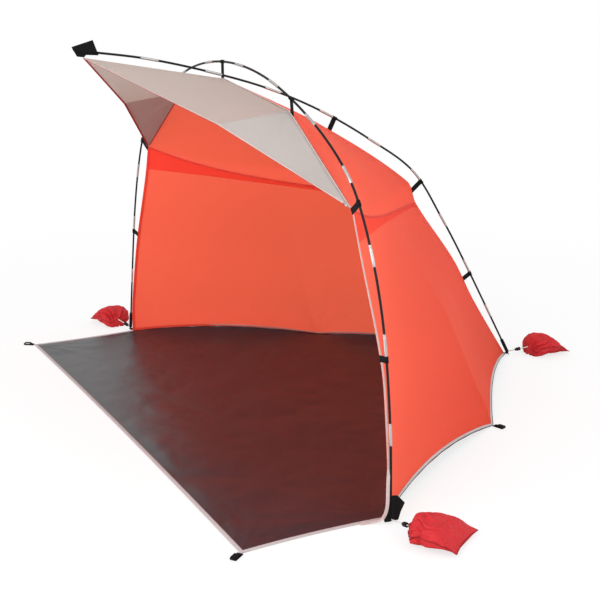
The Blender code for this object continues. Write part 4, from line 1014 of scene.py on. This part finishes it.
def tube_profile(length, closed_start, closed_end):
    """A tube's section as (distance, radius): hollow, or with its closed end rounded."""
    body = stations_between(TUBE_END_LENGTH if closed_start else TUBE_GAP,
                            length - TUBE_END_LENGTH if closed_end else length)
    profile = list(TUBE_END) if closed_start else []
    profile += [(x, TUBE_DIAMETER / 2.0) for x in body]
    if closed_end:
        profile += [(length - x, radius) for x, radius in reversed(TUBE_END)]
    if not closed_start and not closed_end:
        profile += [(x, TUBE_BORE / 2.0) for x in reversed(body)]
        profile.append(profile[0])
    return profile


def ferrule_profile():
    half = FERRULE_LENGTH / 2.0
    outside = FERRULE_DIAMETER / 2.0
    inside = TUBE_DIAMETER / 2.0 + FERRULE_FIT
    run, drop = FERRULE_ROUNDING
    profile = [(-half, inside), (-half, outside - drop), (-half + run, outside)]
    # Two rolled crimps near one mouth grip the tube that is glued in there
    for crimp in CRIMPS:
        centre = -half + crimp
        profile += [(centre - CRIMP_HALF, outside), (centre, outside - CRIMP_DEPTH),
                    (centre + CRIMP_HALF, outside)]
    profile += [(x, outside) for x in stations_between(-half + 0.015, half - run)]
    profile += [(half, outside - drop), (half, inside)]
    profile += [(x, inside) for x in reversed(stations_between(-half, half)[1:-1])]
    profile.append(profile[0])
    return profile


def build_pole(word, route, start, end, count):
    """A pole's tubes and ferrules, turned straight and then bent along its route."""
    rail = guide(route, word + "_rail")
    length = (end - start) / count
    places = [start + length * i for i in range(count + 1)]
    first, middle, last = [turned(word + "_tube", tube_profile(length, *closed), TUBE_SIDES)
                           for closed in ((True, False), (False, False), (False, True))]
    sleeve = turned(word + "_sleeve", ferrule_profile(), 24)
    for i in range(count):
        number = f"{i + 1:02d}"
        model = first if i == 0 else last if i == count - 1 else middle
        tube = copied(model, f"{word}_tube_{number}", places[i])
        apply_modifier(tube, "CURVE", object=rail, deform_axis="POS_X")
        finish(tube, TUBE, slot="pole", nodes=[f"{word}_section_{number}"])
        if i < count - 1:
            ferrule = copied(sleeve, f"{word}_ferrule_{number}", places[i + 1])
            apply_modifier(ferrule, "CURVE", object=rail, deform_axis="POS_X")
            finish(ferrule, FERRULE, slot="pole")
    discard(rail, first, middle, last, sleeve)
    return places


HOOP_PLACES = build_pole("hoop", HOOP, POLE_END_LIFT, HOOP.length - POLE_END_LIFT, HOOP_SECTIONS)
RIDGE_PLACES = build_pole("ridge", RIDGE, POLE_END_LIFT, RIDGE.length, RIDGE_SECTIONS)


# webbing

def band(name, points, width_way, width, thickness):
    """Flat webbing along a path, with softened edges."""
    route = Route(points, smooth=False)
    count = max(8, math.ceil(route.length / 0.003))
    piece = shaped_grid(name, 6, count,
                        lambda u, v: route.share(v) + width_way * ((u - 0.5) * width), width,
                        route.length)
    apply_modifier(piece, "SOLIDIFY", thickness=thickness, offset=0.0, use_even_offset=True)
    apply_modifier(piece, "BEVEL", width=thickness * 0.3, segments=2, limit_method="ANGLE",
                   angle_limit=math.radians(50.0))
    return piece


def tree_of(pieces):
    verts = []
    faces = []
    for piece in pieces:
        base = len(verts)
        verts += [v.co.copy() for v in piece.data.vertices]
        faces += [tuple(base + i for i in p.vertices) for p in piece.data.polygons]
    return BVHTree.FromPolygons(verts, faces)


CANOPY_TREE = tree_of(canopy_pieces)


def strap(name, route, distance, target, shift=0.0, node=True):
    """A web looped round a pole, with its two tails sewn to the cloth on the way to target."""
    along = route.tangent(distance)
    centre = route.at(distance) + along * shift
    tail = target - centre
    tail = (tail - along * tail.dot(along)).normalized()
    thick = along.cross(tail)
    hit = CANOPY_TREE.ray_cast(centre, tail)
    length = hit[3] if hit[0] is not None else (target - centre).length
    radius = FERRULE_DIAMETER / 2.0 + STRAP_ROOM + WEBBING / 2.0
    half = WEBBING * 0.55
    root = math.asin(half / radius)
    reaches = (length + 0.001, length * 0.5, radius * math.cos(root) + 0.004)
    points = [centre + tail * reach + thick * half for reach in reaches]
    points += [centre + (tail * math.cos(angle) + thick * math.sin(angle)) * radius
               for angle in shares(24, root, 2.0 * math.pi - root)]
    points += [centre + tail * reach - thick * half for reach in reversed(reaches)]
    piece = band(name + "_web", points, along, STRAP_SPREAD, WEBBING)
    merge(piece, distance=1e-6)
    finish(piece, WEBBING_BLACK, slot="webbing", nodes=[name] if node else [])


apex = HOOP.length / 2.0
strap("apex_strap", HOOP, apex, BORDER_TOP,
      -(STRAP_SPREAD / 2.0 + FERRULE_DIAMETER / 2.0 + STRAP_BESIDE_RIDGE))
CLIP = FERRULE_LENGTH / 2.0 + STRAP_WIDTH / 2.0 + STRAP_ROOM
for side, word in SIDES:
    strap("shoulder_strap_" + word, HOOP, apex + side * SHOULDER_STRAP_SHARE * apex,
          border_point(side, SHOULDER_TARGET_SHARE))
    strap("corner_strap_" + word, HOOP, apex + side * CORNER_STRAP_SHARE * apex,
          border_point(side, CORNER_TARGET_SHARE))
    strap("side_strap_" + word, HOOP, apex + side * (HOOP_PLACES[-3] - apex + CLIP),
          FRONT_HEM[side].share(SIDE_TARGET_SHARE))
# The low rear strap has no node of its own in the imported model
for name, joint, share, node in (("roof_strap", -5, ROOF_TARGET_SHARE, True),
                                 ("rear_strap", -7, REAR_TARGET_SHARE, True),
                                 ("low_rear_strap", -9, LOW_TARGET_SHARE, False)):
    strap(name, RIDGE, RIDGE_PLACES[joint] - CLIP, CANOPY.share(share), node=node)


# pockets for the pole ends

def span_at(outline, share):
    """The two sides of an outline of (across, along) at one share along."""
    found = []
    for (a0, b0), (a1, b1) in zip(outline, outline[1:] + outline[:1]):
        if min(b0, b1) <= share <= max(b0, b1) and b0 != b1:
            found.append(lerp(a0, a1, (share - b0) / (b1 - b0)))
    return min(found), max(found)


def pouch(name, base, along, across, face, outline, height, half_width, axis_offset, node):
    """Two layers of webbing cloth, sewn flat at their edges and round over the pole."""
    low = min(b for _, b in outline) + 1e-4
    high = max(b for _, b in outline) - 1e-4
    radius = SLEEVE_DIAMETER / 2.0

    def place(u, v):
        share = lerp(low, high, v)
        left, right = span_at(outline, share)
        angle = 2.0 * math.pi * u
        x = lerp(left, right, 0.5 + 0.5 * bowed(math.cos(angle), 0.8)) * half_width
        bulge = (radius - POUCH_FIN) * math.exp(-((x - axis_offset) / (radius * 0.80)) ** 2)
        depth = (POUCH_FIN + bulge * ease(v / 0.08)) * ease(min(v, 1.0 - v) / 0.05)
        return (base + along * (share * height) + across * x
                + face * (bowed(math.sin(angle), 0.35) * depth))

    piece = shaped_grid(name, 64, 40, place, half_width * 4.0, height)
    merge(piece, distance=2e-5)
    finish(piece, WEBBING_BLACK, slot="webbing", nodes=[node])


def foot_pocket(name, route, place, back, turn, corner, outline=FOOT_FIN_SHARES):
    """A pocket round a pole's foot, and the webbing tab that ties it to the cloth's corner."""
    foot = route.at(place)
    along = (route.at(place + back) - foot).normalized()
    turn = Vector(turn)
    across = (turn - along * turn.dot(along)).normalized()
    base = foot - along * POCKET_BASE
    pouch(name + "_cloth", base, along, across, along.cross(across), outline,
          FOOT_POCKET_HEIGHT, FOOT_POCKET_WIDTH / 2.0, 0.0, name)
    way = flat(Vector(corner) - foot)
    start = Vector((foot.x, foot.y, base.z + 0.0016))
    points = [start, start + way * 0.5, start + way]
    tab = band(name + "_tab", points, Vector((-way.y, way.x, 0.0)).normalized(), 0.018, 0.0016)
    finish(tab, WEBBING_BLACK, slot="webbing")


foot_pocket("foot_pocket_left", HOOP, HOOP_PLACES[0], FOOT_POCKET_HEIGHT, EDGE_ON_TURN,
            (-HEM_FOOT_HALF_WIDTH, 0.0, 0.0))
foot_pocket("foot_pocket_right", HOOP, HOOP_PLACES[-1], -FOOT_POCKET_HEIGHT, FACE_ON_TURN,
            (HEM_FOOT_HALF_WIDTH, 0.0, 0.0), FACE_FIN_SHARES)
foot_pocket("rear_pocket", RIDGE, RIDGE_PLACES[0], FOOT_POCKET_HEIGHT, EDGE_ON_TURN,
            (0.0, REAR_HEM_REACH, 0.0))

tip = RIDGE.at(RIDGE_PLACES[-1])
forward = (tip - RIDGE.at(RIDGE_PLACES[-1] - TIP_POCKET_LENGTH)).normalized()
up_way = Vector((1.0, 0.0, 0.0)).cross(-forward)
up_way = up_way if up_way.z > 0.0 else -up_way
drop = (tip - VISOR_TIP - UP * TIP_REST).dot(up_way)
tip_front = tip + forward * (TIP_POCKET_LENGTH * TIP_POCKET_AHEAD_SHARE) - up_way * drop
pouch("tip_pocket_cloth", tip_front, -forward, up_way, Vector((1.0, 0.0, 0.0)),
      [(b, a) for a, b in TIP_FIN_SHARES], TIP_POCKET_LENGTH, TIP_POCKET_HEIGHT, drop,
      "tip_pocket")


# peg loops

def loop_path():
    """A peg loop from the side, as (distance out, height over its middle)."""
    half = PEG_LOOP_HEIGHT / 2.0 - WEBBING / 2.0
    sewn = LOOP_WEB - PEG_LOOP_HEIGHT * 0.55 / 2.0
    centre = PEG_LOOP_LENGTH - PEG_LOOP_HEIGHT / 2.0
    path = [(LOOP_FOLD_ROOM, sewn), (LOOP_SEWN_END, sewn), (LOOP_OPEN, half)]
    path += [(lerp(LOOP_OPEN, centre, t), half) for t in (0.35, 0.7)]
    path += [(centre + half * math.sin(a), half * math.cos(a)) for a in shares(14, 0.0, math.pi)]
    path += [(lerp(centre, LOOP_SEWN_END, t), -half) for t in (0.3, 0.65)]
    return path + [(LOOP_SEWN_END, -half), (0.0, -half)]


for spot, (root, way) in PEG_LOOPS.items():
    for side, word in SIDES:
        out = Vector((side * way[0], way[1], 0.0)).normalized()
        foot = Vector((side * root[0], root[1], PEG_LOOP_LIFT + PEG_LOOP_HEIGHT / 2.0))
        points = [foot + out * a + UP * b for a, b in loop_path()]
        loop = band(f"peg_loop_{spot}_{word}_web", points, Vector((-out.y, out.x, 0.0)),
                    PEG_LOOP_WIDTH, LOOP_WEB)
        finish(loop, WEBBING_BLACK, body=f"loop_{spot}_{word}", slot="webbing",
               nodes=[f"peg_loop_{spot}_{word}"])


# sandbags, tethers and cord locks

def pleat(angle):
    """A fold with a rounded crest and a sharp valley."""
    return 2.0 * abs(math.cos(angle / 2.0)) - 1.25


def bag_shape(word):
    """A bag's cloth as place(u, v), with u round it and v from neck to seam, its neck's place
    on the ground, and its way."""
    foot, bearing, reach, turn, skew, _, _, gathers, seed = BAGS[word]
    angle = math.radians(bearing)
    neck = Vector((*foot, 0.0)) + Vector((math.cos(angle), math.sin(angle), 0.0)) * reach
    angle += math.radians(turn)
    way = Vector((math.cos(angle), math.sin(angle), 0.0))
    across = Vector((-way.y, way.x, 0.0))
    profile = Route([Vector(s) for s in BAG_SHARES])

    def place(u, v):
        length_share, width_share, height_share = profile.share(v)
        length_share = clamp(length_share)
        half_width = lerp(BAG_NECK_DIAMETER, BAG_WIDTH, width_share) / 2.0
        least = lerp(BAG_NECK_DIAMETER, BAG_EDGE_THICKNESS, ease((length_share - 0.3) / 0.4))
        height = lerp(least, BAG_HEIGHT, clamp(height_share))
        bottom = BAG_NECK_HEIGHT * (1.0 - min(1.0, height_share * BAG_NECK_FALL)) + BAG_LIFT
        bottom = max(bottom - least / 2.0, BAG_LIFT)
        seam_share = length_share ** BAG_EDGE_POWER
        if length_share >= 0.5:
            bottom = BAG_LIFT + BAG_EDGE_LIFT * seam_share
        slant = math.radians(skew) * length_share
        sideways = across * math.cos(slant) - way * math.sin(slant)
        angle = 2.0 * math.pi * u
        x = bowed(math.cos(angle), BAG_SIDE_POWER)
        z = math.sin(angle)
        if z < 0.0:
            z = bowed(z, BAG_BASE_POWER)
        hollow = BAG_SEWN_HOLLOW * (1.0 - x ** 2) * seam_share
        room = BAG_NECK_ROOM * (1.0 - ease(length_share / 0.12))
        point = neck + way * (length_share * BAG_LENGTH - hollow + room)
        point += sideways * (x * half_width)
        point.z = bottom + height * (z + 1.0) / 2.0
        centre = neck + way * (length_share * BAG_LENGTH)
        centre.z = bottom + height / 2.0
        out = point - centre
        out = out.normalized() if out.length > 1e-6 else UP
        # Gathers run back from the neck, and wrinkles stay clear of neck and seam
        gather = gathers * math.exp(-length_share / 0.34) * ease(length_share / 0.05)
        bend = angle + 0.9 * noise.noise(Vector((length_share * 3.0, seed, 0.0)))
        fold = gather * sum(depth * pleat(count * bend + turns * seed)
                            for count, depth, turns in BAG_PLEATS)
        calm = ease((1.0 - length_share) / 0.12) * ease(length_share / 0.10)
        for depth, scale, shift in BAG_WRINKLES:
            fold += depth * noise.noise(point * scale + Vector(shift) * seed) * calm
        point += out * fold
        point.z = max(point.z, BAG_LIFT)
        return point

    return place, neck, way


def fill_with_sand(bag, held):
    """Let the sewn cloth settle under light pressure, with the points held(point) kept."""
    before = [v.co.copy() for v in bag.data.vertices]
    fixed = [i for i, p in enumerate(before) if held(p)]
    bag.vertex_groups.new(name="held").add(fixed, 1.0, "REPLACE")
    pick(bag)
    cloth = bag.modifiers.new("cloth", "CLOTH")
    for key, value in {"quality": 5, "mass": 0.20, "tension_stiffness": 20.0,
                       "compression_stiffness": 20.0, "shear_stiffness": 8.0,
                       "bending_stiffness": 0.02, "use_pressure": True,
                       "uniform_pressure_force": BAG_PRESSURE, "shrink_min": -BAG_SLACK,
                       "vertex_group_mass": "held"}.items():
        setattr(cloth.settings, key, value)
    cloth.settings.effector_weights.gravity = 0.0
    cloth.collision_settings.use_collision = False
    for step in range(1, 21):
        bpy.context.scene.frame_set(step)
    bpy.ops.object.modifier_apply(modifier=cloth.name)
    bpy.context.scene.frame_set(1)
    for vertex, start in zip(bag.data.vertices, before):
        move = vertex.co - start
        if move.length > BAG_MOST_MOVE:
            move *= BAG_MOST_MOVE / move.length
        vertex.co = start + move
        vertex.co.z = max(vertex.co.z, BAG_LIFT)
    bag.vertex_groups.clear()


def bag_seam(word, bag, place, before):
    """The dark piping sewn round a bag's outline, which before its filling lay on place."""
    tree = point_tree(before)
    spots = [place(0.0, v / 60) for v in range(4, 60)]
    spots += [place(u / 40 * 0.5, 1.0 - 1e-4) for u in range(1, 40)]
    spots += [place(0.5, v / 60) for v in range(59, 3, -1)]
    line = [bag.data.vertices[tree.find(p)[1]].co.copy() for p in spots]
    line = [(a + b * 2.0 + c) / 4.0
            for a, b, c in zip(line[:1] + line, line, line[1:] + line[-1:])]
    route = Route(line, smooth=False)
    centre = sum(line, Vector()) / len(line)
    edge = []
    for share in shares(160):
        at = route.share(share)
        out = at - centre
        out.z *= 0.3
        at.z = max(at.z, BAG_LIFT + PIPING_LIFT)
        out.normalize()
        edge.append((at + out * PIPING_OUT, out, UP))
    piece = tape("bag_piping_" + word, squared(edge), PIPING_WIDTH / 2.0,
                 PIPING_THICKNESS / 2.0, power=0.9)
    finish(piece, BAG_PIPING, body="bag_" + word, slot="bag_cloth")


def lock_shape():
    """A moulded barrel lock with a sprung button, modelled once about X."""
    r = LOCK_DIAMETER / 2.0
    hole = TETHER_DIAMETER / 2.0 + 0.0003
    profile = [(0.0, hole), (0.0, r * 0.62), (0.0006, r * 0.72), (0.0058, r * 0.74),
               (0.0062, r * 0.94), (0.0068, r)]
    # Grip rings moulded round the barrel
    for i in range(5):
        x = 0.0086 + i * 0.0028
        profile += [(x, r), (x + 0.0005, r * 0.93), (x + 0.0013, r * 0.93), (x + 0.0018, r)]
    profile += [(LOCK_LENGTH - 0.0008, r), (LOCK_LENGTH, r * 0.88), (LOCK_LENGTH, hole)]
    profile += [(LOCK_LENGTH * 0.5, hole), (0.0, hole)]
    return turned("lock_model", profile, 28)


LOCK_MODEL = lock_shape()


def add_tether(word):
    """The cord from a foot's pocket to its bag, and the lock that slides on it."""
    start, end = [Vector(p) for p in BAGS[word][5]]
    run = end - start
    along = run.normalized()
    route = [lerp(start, end, s) for s in shares(TETHER_RINGS)]
    way_up = (UP - along * UP.dot(along)).normalized()
    side_way = along.cross(way_up)

    def place(u, v):
        angle = 2.0 * math.pi * u
        radius = TETHER_DIAMETER / 2.0 * (1.0 + 0.06 * math.cos(2.0 * angle + v * 30.0))
        return route[round(v * TETHER_RINGS)] + (side_way * math.cos(angle)
                                                 + way_up * math.sin(angle)) * radius

    cord = shaped_grid("tether_cord_" + word, 16, TETHER_RINGS, place, 0.0132, run.length)
    close_ends(cord)
    finish(cord, CORD, body="bag_" + word, slot="tether", nodes=["tether_" + word])
    [tuple(p) for p in route]
    lock = copied(LOCK_MODEL, "lock_barrel_" + word)
    first = start + along * ((run.length - LOCK_LENGTH) * BAGS[word][6])
    turn = Matrix((along, side_way, way_up)).transposed().to_4x4()
    lock.data.transform(Matrix.Translation(first) @ turn)
    merge(lock)
    finish(lock, MOULDED, body="lock_" + word, slot="lock", nodes=["cord_lock_" + word])


for word in BAGS:
    place, neck, way = bag_shape(word)
    bag = shaped_grid("sandbag_cloth_" + word, 112, 88, place, 0.42, 0.22)
    close_ends(bag)
    sewn = [v.co.copy() for v in bag.data.vertices]
    fill_with_sand(bag, lambda p: (p - neck - UP * BAG_NECK_HEIGHT).length < BAG_HELD_REACH
                   or (p - neck).dot(way) > BAG_LENGTH - BAG_SEWN_HOLLOW - BAG_SEAM_HELD)
    bag_seam(word, bag, place, sewn)
    finish(bag, BAG_CLOTH, body="bag_" + word, slot="bag_cloth", nodes=["sandbag_" + word],
           angle=70.0)
    add_tether(word)
discard(LOCK_MODEL)

for word in ("hoop", "ridge"):
    cord_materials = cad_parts[word + "_shock_cord"].data.materials
    cord_materials.clear()
    cord_materials.append(CORD)


# floor, light and background

def add_stage():
    deselect()
    bpy.ops.mesh.primitive_grid_add(x_subdivisions=8, y_subdivisions=8, size=60.0,
                                    location=(0.0, 0.0, -0.0005))
    ground = named(bpy.context.object, "studio_floor")
    settle(ground)
    material = blank("matt_white_studio_floor")
    place = add(material, "ShaderNodeTexCoord").outputs["Object"]
    speck = add(material, "ShaderNodeTexNoise", {"Vector": place, "Scale": 4.0})
    tone = add(material, "ShaderNodeMix", {"Factor": speck.outputs["Fac"], 6: colour("#F4F4F4"),
                                           7: colour("#F0F0F0")}, data_type="RGBA")
    paint = add(material, "ShaderNodeBsdfPrincipled", {"Base Color": tone.outputs[2],
                                                       "Roughness": 0.9})
    white = add(material, "ShaderNodeEmission", {"Color": (1.0, 1.0, 1.0, 1.0), "Strength": 1.0})
    seen = add(material, "ShaderNodeLightPath").outputs["Is Camera Ray"]
    # The floor keeps the shadow near the tent and turns plain white further out
    away = add(material, "ShaderNodeVectorMath", {0: place}, operation="LENGTH")
    amount = add(material, "ShaderNodeMapRange", {"Value": away.outputs["Value"],
                                                  "From Min": 1.6, "From Max": 4.0,
                                                  "To Min": 0.72, "To Max": 1.0})
    share = add(material, "ShaderNodeMath", {0: seen, 1: amount}, operation="MULTIPLY")
    both = add(material, "ShaderNodeMixShader", {0: share, 1: paint, 2: white})
    add(material, "ShaderNodeOutputMaterial", {"Surface": both})
    ground.data.materials.append(material)


def add_world():
    world = bpy.data.worlds.new("studio")
    world.use_nodes = True
    world.node_tree.nodes.clear()
    bpy.context.scene.world = world
    path = add(world, "ShaderNodeLightPath")
    seen = add(world, "ShaderNodeMath", {0: path.outputs["Is Camera Ray"],
                                         1: path.outputs["Is Glossy Ray"]}, operation="MAXIMUM")
    dim, bright = [add(world, "ShaderNodeBackground",
                       {"Color": (1.0, 1.0, 1.0, 1.0), "Strength": strength})
                   for strength in (0.88, 1.0)]
    both = add(world, "ShaderNodeMixShader", {0: seen, 1: dim, 2: bright})
    add(world, "ShaderNodeOutputWorld", {"Surface": both})


add_stage()
add_world()
# Each lamp: its place, the spot it looks at, its size and its power
for name, place, aim, size, power in (
        ("key_softbox", (2.6, -3.4, 3.4), (0.0, 0.3, 0.5), 2.6, 90.0),
        ("low_softbox", (0.4, -4.4, 1.3), (-0.2, 0.5, 0.45), 2.4, 70.0),
        ("side_softbox", (4.2, 1.8, 2.6), (0.3, 0.5, 0.5), 2.4, 50.0)):
    data = bpy.data.lights.new(name, "AREA")
    data.shape = "SQUARE"
    data.size = size
    data.energy = power
    lamp = linked(name, data)
    lamp.location = place
    lamp.rotation_euler = (Vector(aim) - Vector(place)).to_track_quat("-Z", "Y").to_euler()
bpy.context.scene.view_settings.view_transform = "Standard"
